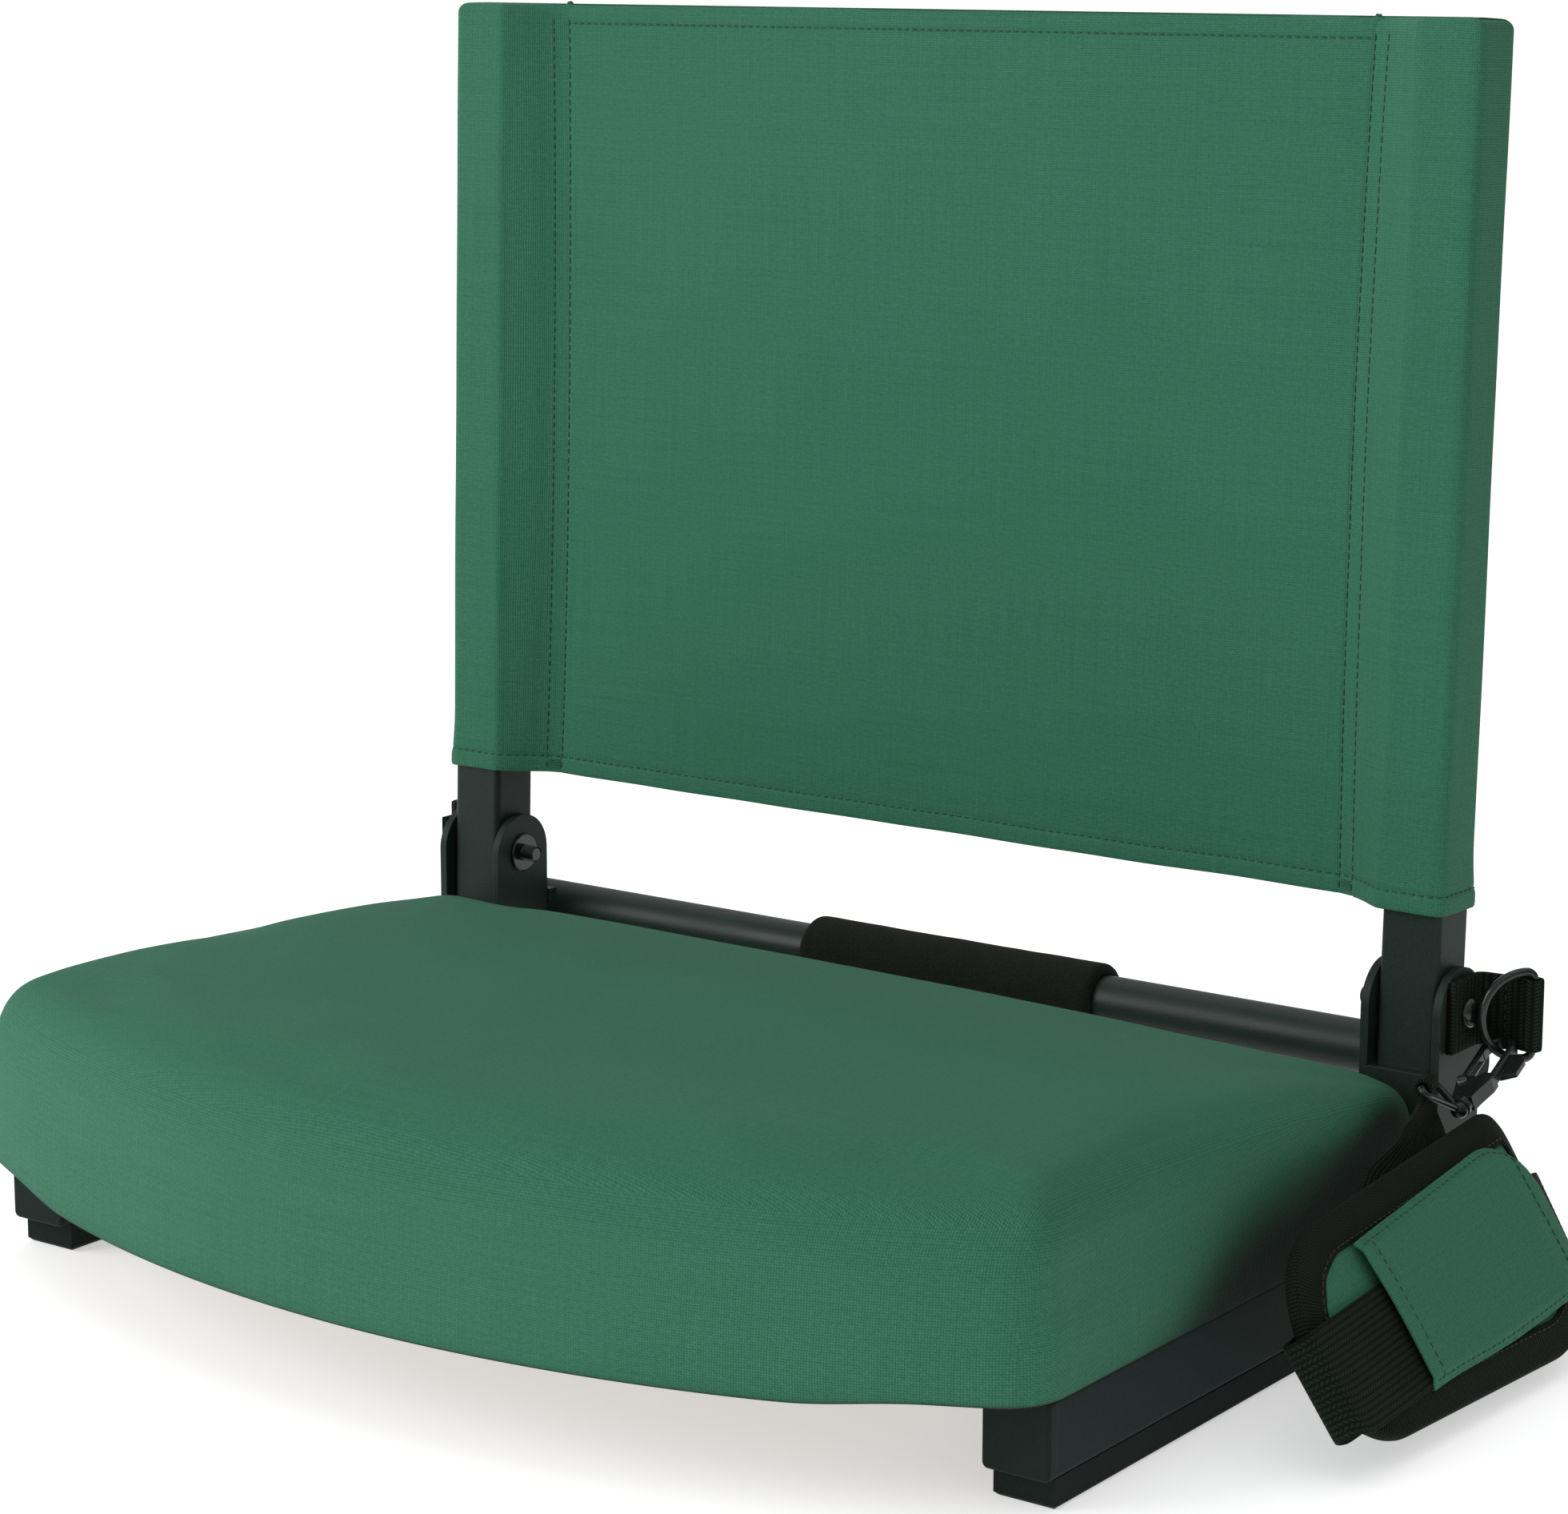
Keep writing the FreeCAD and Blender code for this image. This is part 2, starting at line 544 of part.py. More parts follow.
# ---------------------------------------------------------------- snap hook
# local frame: x = from the eye to the swivel, y = outward across the flat, z = up
RD = V(RING_DIR[0], RING_DIR[1], 0)
RD.normalize()
HA = math.radians(HOOK_AT)
HOOK_P = V(RING_B[0], RING_B[1], TAB_ZC) + RD * (RING_Q + RING_R * math.sin(HA)) - V(0, 0, RING_R * math.cos(HA))
HOOK_U = KNUCKLE - HOOK_P
HOOK_LEN = HOOK_U.Length
HOOK_U.normalize()
HOOK_W = HOOK_W - HOOK_U * HOOK_U.dot(HOOK_W)
HOOK_W.normalize()
HOOK_N = HOOK_U.cross(HOOK_W)
EYE_X = -0.4                              # eye centre, measured from the ring's wire
HM = frame_matrix(HOOK_P, HOOK_U, HOOK_W, HOOK_N)
ZT = HOOK_T / 2


def soften(s, r):
    e = [x for x in s.Edges if abs(abs(x.BoundBox.ZMin) - ZT) < 1e-6 and abs(x.BoundBox.ZMin - x.BoundBox.ZMax) < 1e-6 and x.Length > 3.0]
    return s.makeChamfer(r, e)


eye = cyl(V(EYE_X, 0, -ZT), V(0, 0, 1), EYE_RO, HOOK_T).cut(cyl(V(EYE_X, 0, -HOOK_T), V(0, 0, 1), EYE_RI, 2 * HOOK_T))
eye = eye.common(box(-20, EYE_X, -20, 20, -10, 10))
lug = box(EYE_X, 3.2, -EYE_RO, -EYE_RI, -ZT, ZT)
spine = box(EYE_X, 19.0, EYE_RI, EYE_RO, -ZT, ZT)
claw = fuse([eye, lug, spine])
claw = soften(claw, 0.6)
block = prism([(16.5, EYE_RO), (20, EYE_RO), (27.5, 4.2), (31, 3.6), (31, -3.6), (27.5, -4.2), (20, -EYE_RO), (18.6, -EYE_RO), (18.6, 0.4), (16.5, 2.2)], -2.7, 2.7)
rest = prism([(1.0, EYE_RO), (14.5, EYE_RO), (12.0, EYE_RO + 5.2), (4.5, EYE_RO + 5.2), (1.0, EYE_RO + 2.6)], -ZT + 0.2, -ZT + 1.9)
hook = fuse([claw, block, rest])
hook = hook.cut(box(17.0, 25.8, -8.0, 0.7, -1.6, 1.6))
hook = hook.cut(cyl(V(GATE_PIVOT[0], GATE_PIVOT[1], -5), V(0, 0, 1), RIVET_R + 0.02, 10))
hook = hook.cut(cyl(V(27.0, 0, 0), V(1, 0, 0), 2.1, 6))
add("hook_body", one(place(one(hook), HM)))

# gate: an arm that closes the eye and a thin heel that turns on the rivet
arm = box(3.6, 17.0, -EYE_RO, -EYE_RI - 0.1, -2.0, 2.0)
arm = arm.makeChamfer(0.5, [e for e in along(arm, V(1, 0, 0))])
heel = box(16.5, 24.4, -6.0, -1.5, -1.1, 1.1)
heel = heel.makeFillet(1.8, [e for e in along(heel, V(0, 0, 1)) if e.Vertexes[0].X > 20])
gate = fuse([arm, heel]).cut(cyl(V(GATE_PIVOT[0], GATE_PIVOT[1], -5), V(0, 0, 1), RIVET_R + 0.05, 10))
add("hook_gate", one(place(one(gate), HM)))

leaf = fuse([box(8.0, 23.4, -3.6, -1.3, 1.1, 1.35), box(19.4, 23.4, -5.4, -1.3, 1.1, 1.35)])
leaf = leaf.cut(cyl(V(GATE_PIVOT[0], GATE_PIVOT[1], -5), V(0, 0, 1), RIVET_R + 0.05, 10))
add("gate_leaf_spring", one(place(one(leaf), HM)))

rv = cyl(V(GATE_PIVOT[0], GATE_PIVOT[1], -2.7), V(0, 0, 1), RIVET_R, 5.4)
for z in (2.7, -3.2):
    rv = fuse([rv, cyl(V(GATE_PIVOT[0], GATE_PIVOT[1], z), V(0, 0, 1), 1.75, 0.5)])
add("gate_rivet", one(place(one(rv), HM)))

# ---------------------------------------------------------------- swivel and wire loop of the strap
post = cyl(V(27.4, 0, 0), V(1, 0, 0), 2.0, 6.0)
head = cyl(V(31.4, 0, 0), V(1, 0, 0), 3.4, 2.2)
swivel = place(one(fuse([post, head])), HM)
ball = Part.makeSphere(3.0, KNUCKLE)
loop = sweep(wire_path([KNUCKLE, LOOP_A, LOOP_B], [1.9, 3.2, 1.7]), LOOP_R)
add("strap_swivel", one(fuse([swivel, ball, one(loop)])))

# ---------------------------------------------------------------- shoulder pad and strap
ft, fr = math.radians(PAD_FACE), math.radians(PAD_RISE)
E1 = V(0, math.cos(fr), math.sin(fr))
PAD_N = V(math.cos(ft), -math.sin(ft) * math.sin(fr), math.sin(ft) * math.cos(fr))
E2 = PAD_N.cross(E1)
PM = frame_matrix(PAD_N * PAD_C, E1, E2, PAD_N)


def bent(h0, h1, a0, phi, b0, b1):
    """strip between two offsets of the pad's outer face: flat, then bent backwards"""
    f = math.radians(phi)

    def P(h, x):
        return V(PAD_BEND + (PAD_RB + h) * math.sin(x), b0, -PAD_RB + (PAD_RB + h) * math.cos(x))

    e = [Part.LineSegment(V(a0, b0, h0), V(PAD_BEND, b0, h0)).toShape(),
         Part.Arc(P(h0, 0), P(h0, f / 2), P(h0, f)).toShape(),
         Part.LineSegment(P(h0, f), P(h1, f)).toShape(),
         Part.Arc(P(h1, f), P(h1, f / 2), P(h1, 0)).toShape(),
         Part.LineSegment(V(PAD_BEND, b0, h1), V(a0, b0, h1)).toShape(),
         Part.LineSegment(V(a0, b0, h1), V(a0, b0, h0)).toShape()]
    return Part.Face(Part.Wire(e)).extrude(V(0, b1 - b0, 0))


def pad_outline(d):
    a1 = PAD_BEND + PAD_RB * math.sin(math.radians(PAD_PHI))
    corners = [(PAD_A0, PAD_TOP[0]), (PAD_A0, PAD_LOW[0]), (a1, PAD_TOP[1]), (a1, PAD_LOW[1])]
    b = prism([corners[0], corners[2], corners[3], corners[1]], -60, 20)
    for (ca, cb), rc in zip(corners, PAD_R):
        b = b.makeFillet(rc, [e for e in along(b, V(0, 0, 1)) if math.hypot(e.Vertexes[0].X - ca, e.Vertexes[0].Y - cb) < 1e-6])
    if d:
        f = [q for q in b.Faces if abs(q.BoundBox.ZMax + 60) < 1e-6][0]
        b = f.makeOffset2D(-d).extrude(V(0, 0, 80))
    return b


slab = bent(-PAD_T, 0, PAD_A0 - 5, PAD_PHI + 6, PAD_LOW[1] - 5, PAD_TOP[1] + 5)
core = slab.common(pad_outline(BIND_W))
rimp = slab.common(pad_outline(0)).cut(pad_outline(BIND_W))
add("shoulder_pad", one(place(one(core), PM)))
add("pad_binding", one(place(one(rimp), PM)))

flap = bent(2.4, 3.4, FLAP_A0, FLAP_PHI, FLAP_B0, FLAP_B1)
hem1 = bent(0, 2.4, FLAP_A0, FLAP_PHI, FLAP_B0, FLAP_B0 + 2.2)
hem2 = bent(0, 2.4, FLAP_A0, FLAP_PHI, FLAP_B1 - 3.6, FLAP_B1)
add("pad_flap", one(place(one(fuse([flap, hem1, hem2])), PM)))


# webbing: behind the pad, round its front end, through the flap's tunnel and back
def strip(edges_mid, t):
    """thick strip along a chain of (kind, ...) pieces in the a-h plane"""
    out = []
    for e in edges_mid:
        if e[0] == "line":
            (a0, h0), (a1, h1) = e[1], e[2]
            d = V(a1 - a0, 0, h1 - h0)
            d.normalize()
            nx, nz = -d.z * t / 2, d.x * t / 2
            w = Part.makePolygon([V(a0 + nx, WEB_B0, h0 + nz), V(a1 + nx, WEB_B0, h1 + nz), V(a1 - nx, WEB_B0, h1 - nz), V(a0 - nx, WEB_B0, h0 - nz), V(a0 + nx, WEB_B0, h0 + nz)])
            out.append(Part.Face(w).extrude(V(0, WEB_B1 - WEB_B0, 0)))
        else:
            (ac, hc), rr, f0, f1 = e[1], e[2], math.radians(e[3]), math.radians(e[4])

            def P(r_, f_):
                return V(ac + r_ * math.sin(f_), WEB_B0, hc + r_ * math.cos(f_))
            fm = (f0 + f1) / 2
            ro, ri = rr + t / 2, rr - t / 2
            w = Part.Wire([Part.Arc(P(ro, f0), P(ro, fm), P(ro, f1)).toShape(), Part.LineSegment(P(ro, f1), P(ri, f1)).toShape(),
                           Part.Arc(P(ri, f1), P(ri, fm), P(ri, f0)).toShape(), Part.LineSegment(P(ri, f0), P(ro, f0)).toShape()])
            out.append(Part.Face(w).extrude(V(0, WEB_B1 - WEB_B0, 0)))
    return one(fuse(out))


HT, HB, HR = 1.2, -9.2, -14.0             # offsets in the tunnel, of the run and of the return
RF = (HT - HB) / 2
RE = (HT - HR) / 2
PHI_E = 31.0
FOLD_A = -158.0                           # centre of the fold round the pad's front end
fE = math.radians(PHI_E)
cE = (PAD_BEND + (PAD_RB + HT - RE) * math.sin(fE), -PAD_RB + (PAD_RB + HT - RE) * math.cos(fE))
web = strip([
    ("line", (-146.0, HB), (FOLD_A, HB)),
    ("arc", (FOLD_A, (HT + HB) / 2), RF, 180, 360),
    ("line", (FOLD_A, HT), (PAD_BEND, HT)),
    ("arc", (PAD_BEND, -PAD_RB), PAD_RB + HT, 0, PHI_E),
    ("arc", cE, RE, PHI_E, PHI_E + 180),
    ("arc", (PAD_BEND, -PAD_RB), PAD_RB + HR, 0, PHI_E),
    ("line", (PAD_BEND, HR), (-112.0, HR)),
], WEB_T)
add("strap_webbing", one(place(web, PM)))


# the strap's sewn end: from the wire loop down to the fold
def section(c, wd, td, w, t):
    wd = V(wd)
    wd.normalize()
    td = td - wd * wd.dot(td)
    td.normalize()
    a, b = wd * (w / 2), td * (t / 2)
    return Part.makePolygon([c + a + b, c - a + b, c - a - b, c + a - b, c + a + b])


def pad_point(a, b, h):
    return PAD_N * (PAD_C + h) + E1 * a + E2 * b


BASE = LOOP_B - LOOP_A
BASE.normalize()
MID = LOOP_A + BASE * 14.0                # middle of the loop's straight side
DOWN = V(0, 0, -1) - BASE * BASE.dot(V(0, 0, -1))
DOWN.normalize()
OUTN = BASE.cross(DOWN)
turn = cyl(MID - BASE * 7.5, BASE, LOOP_R + 2.0, 15.0)
WB = (WEB_B0 + WEB_B1) / 2
secs = [section(MID + DOWN * 2.4, BASE, OUTN, 15.0, 2.6),
        section(pad_point(-33.0, -70.0, -9.9), E1 * -0.90 + E2 * 0.36 + PAD_N * 0.10, PAD_N, 27, 2.2),
        section(pad_point(-62.0, -84.0, -10.1), E1 * -0.66 + E2 * 0.75, PAD_N, 34, 1.8),
        section(pad_point(-104.0, -102.0, -9.9), E1 * -0.30 + E2 * 0.95, PAD_N, 36, 1.6),
        section(pad_point(-146.0, WB, HB), E2, PAD_N, 36, 1.6)]
tail = Part.makeLoft(secs, True, True)
tail = fuse([one(tail), turn]).cut(cyl(MID - BASE * 13, BASE, LOOP_R + 0.4, 26))
add("strap_end", one(tail))

# ---------------------------------------------------------------- write
os.makedirs("parts", exist_ok=True)
bb = FreeCAD.BoundBox()
for n_, s_ in PARTS.items():
    bb.add(s_.optimalBoundingBox(True, False))
print("box before shift", [round(v, 2) for v in (bb.XMin, bb.XMax, bb.YMin, bb.YMax, bb.ZMin, bb.ZMax)])
print("centre", round((bb.XMin + bb.XMax) / 2, 3), round((bb.YMin + bb.YMax) / 2, 3))
for n_, s_ in PARTS.items():
    t_ = s_.copy()
    t_.translate(V(-ORIGIN_X, -ORIGIN_Y, 0))
    ok = t_.isValid() and all(x.isValid() for x in t_.Solids)
    if not ok or not t_.Solids:
        print("CHECK", n_, "valid", t_.isValid(), "solids", len(t_.Solids))
    t_.exportStep("parts/%s.step" % n_)
print(len(PARTS), "nodes", sum(len(s_.Solids) for s_ in PARTS.values()), "solids")
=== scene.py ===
import math

import bmesh
import bpy
import numpy as np
from mathutils import Matrix, Vector
from mathutils import noise as mnoise


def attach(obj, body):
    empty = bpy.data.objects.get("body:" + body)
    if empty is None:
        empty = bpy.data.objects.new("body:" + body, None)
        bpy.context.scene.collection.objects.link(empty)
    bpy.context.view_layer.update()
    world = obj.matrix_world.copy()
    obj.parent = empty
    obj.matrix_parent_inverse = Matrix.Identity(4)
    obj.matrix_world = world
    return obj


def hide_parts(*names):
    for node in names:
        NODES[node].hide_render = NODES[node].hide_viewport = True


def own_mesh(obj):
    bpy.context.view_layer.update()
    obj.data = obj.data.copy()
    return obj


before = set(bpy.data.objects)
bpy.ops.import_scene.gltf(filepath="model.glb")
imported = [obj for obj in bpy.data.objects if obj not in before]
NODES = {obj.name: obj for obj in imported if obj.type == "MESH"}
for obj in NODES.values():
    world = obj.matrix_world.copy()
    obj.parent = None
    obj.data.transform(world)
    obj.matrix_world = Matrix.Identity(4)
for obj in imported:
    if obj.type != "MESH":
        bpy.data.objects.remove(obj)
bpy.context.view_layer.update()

OX, OY = 23.82, -122.24            # the model's origin in the measuring frame, mm
PI = math.pi


# ------------------------------------------------------------------ small helpers
def row(p):
    """measuring frame in mm -> row frame in metres"""
    return (np.asarray(p, float) - np.array([OX, OY, 0.0])) * 0.001


def unit(v):
    v = np.asarray(v, float)
    n = np.linalg.norm(v, axis=-1, keepdims=True)
    return v / np.maximum(n, 1e-12)


def sstep(a, b, x):
    t = np.clip((np.asarray(x, float) - a) / (b - a), 0, 1)
    return t * t * (3 - 2 * t)


def gnoise(p, scale, off=(0.0, 0.0, 0.0)):
    """smooth noise about -1..1 at points in mm, scale in mm"""
    q = np.asarray(p, float).reshape(-1, 3) / scale + np.asarray(off)
    return np.array([mnoise.noise(Vector(x)) for x in q])


def build(name, verts, faces, uvs=None, smooth=True):
    """object from points in the measuring frame; uvs is one (u, v) per face corner, in metres"""
    me = bpy.data.meshes.new(name)
    me.from_pydata(row(verts).tolist(), [], [list(map(int, f)) for f in faces])
    if uvs is not None:
        lay = me.uv_layers.new(name="UVMap")
        lay.data.foreach_set("uv", np.asarray(uvs, np.float32).ravel())
    me.polygons.foreach_set("use_smooth", [smooth] * len(me.polygons))
    me.update()
    ob = bpy.data.objects.new(name, me)
    bpy.context.scene.collection.objects.link(ob)
    return ob


def outward(ob):
    """face normals out of a closed mesh"""
    bm = bmesh.new()
    bm.from_mesh(ob.data)
    bmesh.ops.recalc_face_normals(bm, faces=bm.faces)
    bm.to_mesh(ob.data)
    bm.free()
    ob.data.update()


def sheet_grid(P, closed=False, U=None, V=None, flip=False):
    """faces and face-corner uvs of a grid of points P[row, col]"""
    nr, nc = P.shape[:2]
    faces, uvs = [], []
    for i in range(nr - 1):
        for j in range(nc if closed else nc - 1):
            k = (j + 1) % nc
            q = [(i, j, j), (i, k, j + 1), (i + 1, k, j + 1), (i + 1, j, j)]
            if flip:
                q = q[::-1]
            faces.append([r * nc + c for r, c, _ in q])
            if U is not None:
                uvs += [(U[r][jj], V[r][jj]) for r, _, jj in q]
    return faces, (uvs if U is not None else None)


def capped_tube(name, P, U=None, V=None, smooth=True):
    """closed sections P[row, col] joined along the rows, both ends closed"""
    nr, nc = P.shape[:2]
    faces, uvs = sheet_grid(P, True, U, V)
    for r, order in ((0, range(nc)), (nr - 1, range(nc - 1, -1, -1))):
        order = list(order)
        faces.append([r * nc + c for c in order])
        if uvs is not None:
            uvs += [(U[r][c], V[r][c]) for c in order]
    ob = build(name, P.reshape(-1, 3), faces, uvs, smooth)
    outward(ob)
    return ob


def stitches(name, runs, r=0.3, dash=2.3, pitch=3.2, sink=0.10, rise=0.22):
    """thread: small arched capsules along runs of (points, normals) in mm"""
    verts, faces = [], []
    ts = [0.0, 0.14, 0.5, 0.86, 1.0]
    rs = [0.45, 0.9, 1.0, 0.9, 0.45]
    hs = [-sink, rise * 0.65, rise, rise * 0.65, -sink]
    for pts, nrm in runs:
        pts, nrm = np.asarray(pts, float), np.asarray(nrm, float)
        s = np.concatenate([[0], np.cumsum(np.linalg.norm(np.diff(pts, axis=0), axis=1))])
        n = max(1, int(s[-1] // pitch))
        gap = s[-1] / n
        for k in range(n):
            at = np.array([k * gap + (gap - dash) / 2 + dash * t for t in ts])
            c = np.stack([np.interp(at, s, pts[:, q]) for q in range(3)], 1)
            m = unit(np.stack([np.interp(at, s, nrm[:, q]) for q in range(3)], 1))
            d = unit(c[-1] - c[0])
            base = len(verts)
            for i in range(5):
                side = unit(np.cross(m[i], d))
                up = np.cross(d, side)
                o = c[i] + m[i] * hs[i]
                for a in range(6):
                    f = a * PI / 3
                    verts.append(o + (side * math.cos(f) + up * math.sin(f)) * r * rs[i])
            for i in range(4):
                for a in range(6):
                    b = (a + 1) % 6
                    faces.append([base + i * 6 + a, base + i * 6 + b, base + i * 6 + 6 + b, base + i * 6 + 6 + a])
            faces.append([base + a for a in range(5, -1, -1)])
            faces.append([base + 24 + a for a in range(6)])
    ob = build(name, np.array(verts), faces)
    outward(ob)
    return ob


def modifier(ob, kind, **kw):
    m = ob.modifiers.new(kind.lower(), kind)
    for k, v in kw.items():
        setattr(m, k, v)
    return m


def apply_all(ob):
    """bake the modifiers into the mesh"""
    dg = bpy.context.evaluated_depsgraph_get()
    me = bpy.data.meshes.new_from_object(ob.evaluated_get(dg))
    old = ob.data
    ob.modifiers.clear()
    ob.data = me
    bpy.data.meshes.remove(old)


# ------------------------------------------------------------------ material helpers
def new_mat(name, rough=0.5, spec=0.5, **sockets):
    m = bpy.data.materials.new(name)
    m.use_nodes = True
    nt = m.node_tree
    b = nt.nodes["Principled BSDF"]
    b.inputs["Roughness"].default_value = rough
    b.inputs["Specular IOR Level"].default_value = spec
    for k, v in sockets.items():
        b.inputs[k.replace("_", " ")].default_value = v
    return m, nt, b


def put(nt, sock, v):
    if isinstance(v, bpy.types.NodeSocket):
        nt.links.new(v, sock)
    elif v is not None:
        sock.default_value = v


def mth(nt, op, a, b=None, c=None, clamp=False):
    n = nt.nodes.new("ShaderNodeMath")
    n.operation = op
    n.use_clamp = clamp
    for s, v in zip(n.inputs, (a, b, c)):
        put(nt, s, v)
    return n.outputs[0]


def mixc(nt, fac, a, b):
    n = nt.nodes.new("ShaderNodeMix")
    n.data_type = "RGBA"
    put(nt, n.inputs[0], fac)
    put(nt, n.inputs[6], (*a, 1) if isinstance(a, tuple) else a)
    put(nt, n.inputs[7], (*b, 1) if isinstance(b, tuple) else b)
    return n.outputs[2]


def rng(nt, v, a, b, c=0.0, d=1.0):
    n = nt.nodes.new("ShaderNodeMapRange")
    n.interpolation_type = "SMOOTHSTEP"
    put(nt, n.inputs[0], v)
    for i, x in enumerate((a, b, c, d)):
        n.inputs[i + 1].default_value = x
    return n.outputs[0]


def obj_co(nt):
    return nt.nodes.new("ShaderNodeTexCoord").outputs["Object"]


def uv_co(nt):
    n = nt.nodes.new("ShaderNodeUVMap")
    n.uv_map = "UVMap"
    return n.outputs[0]


def xyz(nt, v):
    n = nt.nodes.new("ShaderNodeSeparateXYZ")
    nt.links.new(v, n.inputs[0])
    return n.outputs


def vec(nt, x, y, z=0.0):
    n = nt.nodes.new("ShaderNodeCombineXYZ")
    for s, v in zip(n.inputs, (x, y, z)):
        put(nt, s, v)
    return n.outputs[0]


def scaled(nt, v, k):
    n = nt.nodes.new("ShaderNodeVectorMath")
    n.operation = "MULTIPLY"
    nt.links.new(v, n.inputs[0])
    n.inputs[1].default_value = k if isinstance(k, tuple) else (k, k, k)
    return n.outputs[0]


def nz(nt, v, scale, detail=2.0, rough=0.5):
    """noise 0..1; scale in features per metre"""
    n = nt.nodes.new("ShaderNodeTexNoise")
    nt.links.new(v, n.inputs["Vector"])
    n.inputs["Scale"].default_value = scale
    n.inputs["Detail"].default_value = detail
    n.inputs["Roughness"].default_value = rough
    return n.outputs[0]


def vor(nt, v, scale, out="Distance", feature="F1"):
    n = nt.nodes.new("ShaderNodeTexVoronoi")
    n.feature = feature
    nt.links.new(v, n.inputs["Vector"])
    n.inputs["Scale"].default_value = scale
    return n.outputs[out]


def bump(nt, b, height, strength, dist, normal=None):
    n = nt.nodes.new("ShaderNodeBump")
    n.inputs["Strength"].default_value = strength
    n.inputs["Distance"].default_value = dist
    nt.links.new(height, n.inputs["Height"])
    if normal is not None:
        nt.links.new(normal, n.inputs["Normal"])
    if b is not None:
        nt.links.new(n.outputs[0], b.inputs["Normal"])
    return n.outputs[0]


def edge_round(nt, radius):
    """softened normals along hard edges, and a mask of those edges"""
    n = nt.nodes.new("ShaderNodeBevel")
    n.samples = 4
    n.inputs["Radius"].default_value = radius
    g = nt.nodes.new("ShaderNodeNewGeometry")
    d = nt.nodes.new("ShaderNodeVectorMath")
    d.operation = "DOT_PRODUCT"
    nt.links.new(n.outputs[0], d.inputs[0])
    nt.links.new(g.outputs["Normal"], d.inputs[1])
    return n.outputs[0], rng(nt, d.outputs["Value"], 0.80, 0.995, 1.0, 0.0)


def weave(nt, u, v, pitch):
    """plain weave: height 0..1 of crossing threads, from two coordinates in metres"""
    su, sv = mth(nt, "DIVIDE", u, pitch), mth(nt, "DIVIDE", v, pitch)
    fu, fv = mth(nt, "FRACT", su), mth(nt, "FRACT", sv)
    par = mth(nt, "MODULO", mth(nt, "ADD", mth(nt, "FLOOR", su), mth(nt, "FLOOR", sv)), 2.0)
    par = mth(nt, "ABSOLUTE", par)
    hu = mth(nt, "SINE", mth(nt, "MULTIPLY", fu, PI))
    hv = mth(nt, "SINE", mth(nt, "MULTIPLY", fv, PI))
    a = mth(nt, "MULTIPLY", mth(nt, "POWER", hu, 0.6), mth(nt, "MULTIPLY_ADD", hv, 0.5, 0.5))
    b = mth(nt, "MULTIPLY", mth(nt, "POWER", hv, 0.6), mth(nt, "MULTIPLY_ADD", hu, 0.5, 0.5))
    d = mth(nt, "SUBTRACT", a, b)
    return mth(nt, "MULTIPLY_ADD", d, par, b), par


def cloth_mat(name, dark, mid, light, pitch=0.00082, tri=False, rough=0.82, bumpy=0.7):
    m, nt, b = new_mat(name, rough, 0.16, Sheen_Weight=0.07, Sheen_Roughness=0.4)
    b.inputs["Sheen Tint"].default_value = (0.75, 0.95, 0.85, 1)
    if tri:
        co = nt.nodes.new("ShaderNodeTexCoord")
        x, y, z = xyz(nt, co.outputs["Object"])
        nx, ny, nzz = xyz(nt, co.outputs["Normal"])
        ax, ay, az = (mth(nt, "ABSOLUTE", q) for q in (nx, ny, nzz))
        top = mth(nt, "GREATER_THAN", az, 0.62)
        side = mth(nt, "MULTIPLY", mth(nt, "GREATER_THAN", ax, ay), mth(nt, "SUBTRACT", 1.0, top))
        u = mth(nt, "MULTIPLY_ADD", mth(nt, "SUBTRACT", y, x), side, x)
        v = mth(nt, "MULTIPLY_ADD", mth(nt, "SUBTRACT", y, z), top, z)
        flat = vec(nt, u, v)
        whole = co.outputs["Object"]
    else:
        flat = uv_co(nt)
        u, v, _ = xyz(nt, flat)
        whole = flat
    # threads wander a little
    w1 = mth(nt, "MULTIPLY_ADD", nz(nt, whole, 60.0, 1.0), 0.0007, u)
    w2 = mth(nt, "MULTIPLY_ADD", nz(nt, scaled(nt, whole, (1.0, 1.3, 0.8)), 55.0, 1.0), 0.0007, v)
    h, par = weave(nt, w1, w2, pitch)
    # uneven yarns: long streaks both ways
    su = nz(nt, scaled(nt, flat, (1.0 / pitch, 14.0, 1.0)), 1.0, 1.0)
    sv = nz(nt, scaled(nt, flat, (14.0, 1.0 / pitch, 1.0)), 1.0, 1.0)
    yarn = mth(nt, "MULTIPLY_ADD", mth(nt, "SUBTRACT", su, sv), par, sv)
    big = nz(nt, whole, 9.0, 2.0)
    # slubs, and the slanting lines of the twill
    slub = nz(nt, scaled(nt, flat, (620.0, 900.0, 1.0)), 1.0, 1.0)
    twill = mth(nt, "SINE", mth(nt, "MULTIPLY", mth(nt, "ADD", w1, w2), 2 * PI / (2.0 * pitch)))
    rough_ = mth(nt, "ADD", mth(nt, "MULTIPLY_ADD", slub, 0.55, -0.275), mth(nt, "MULTIPLY", twill, 0.055))
    tone = mth(nt, "ADD", mth(nt, "MULTIPLY", h, 0.62), mth(nt, "MULTIPLY_ADD", yarn, 0.5, mth(nt, "MULTIPLY_ADD", big, 0.16, rough_)))
    c = mixc(nt, rng(nt, tone, 0.10, 0.62), dark, mid)
    c = mixc(nt, rng(nt, tone, 0.62, 1.15), c, light)
    if tri:
        # painted shade: the cushion's colour darkens towards near-black wherever other parts are close (ambient
        # occlusion), standing in for the shadow beside the pad and rail
        ao = nt.nodes.new("ShaderNodeAmbientOcclusion")
        ao.samples = 16
        ao.inputs["Distance"].default_value = 0.085
        c = mixc(nt, rng(nt, ao.outputs["AO"], 0.30, 0.84), (0.002, 0.008, 0.005), c)
    nt.links.new(c, b.inputs["Base Color"])
    bump(nt, b, mth(nt, "MULTIPLY_ADD", rough_, 0.8, mth(nt, "MULTIPLY_ADD", yarn, 0.25, h)), bumpy, 0.00026)
    return m


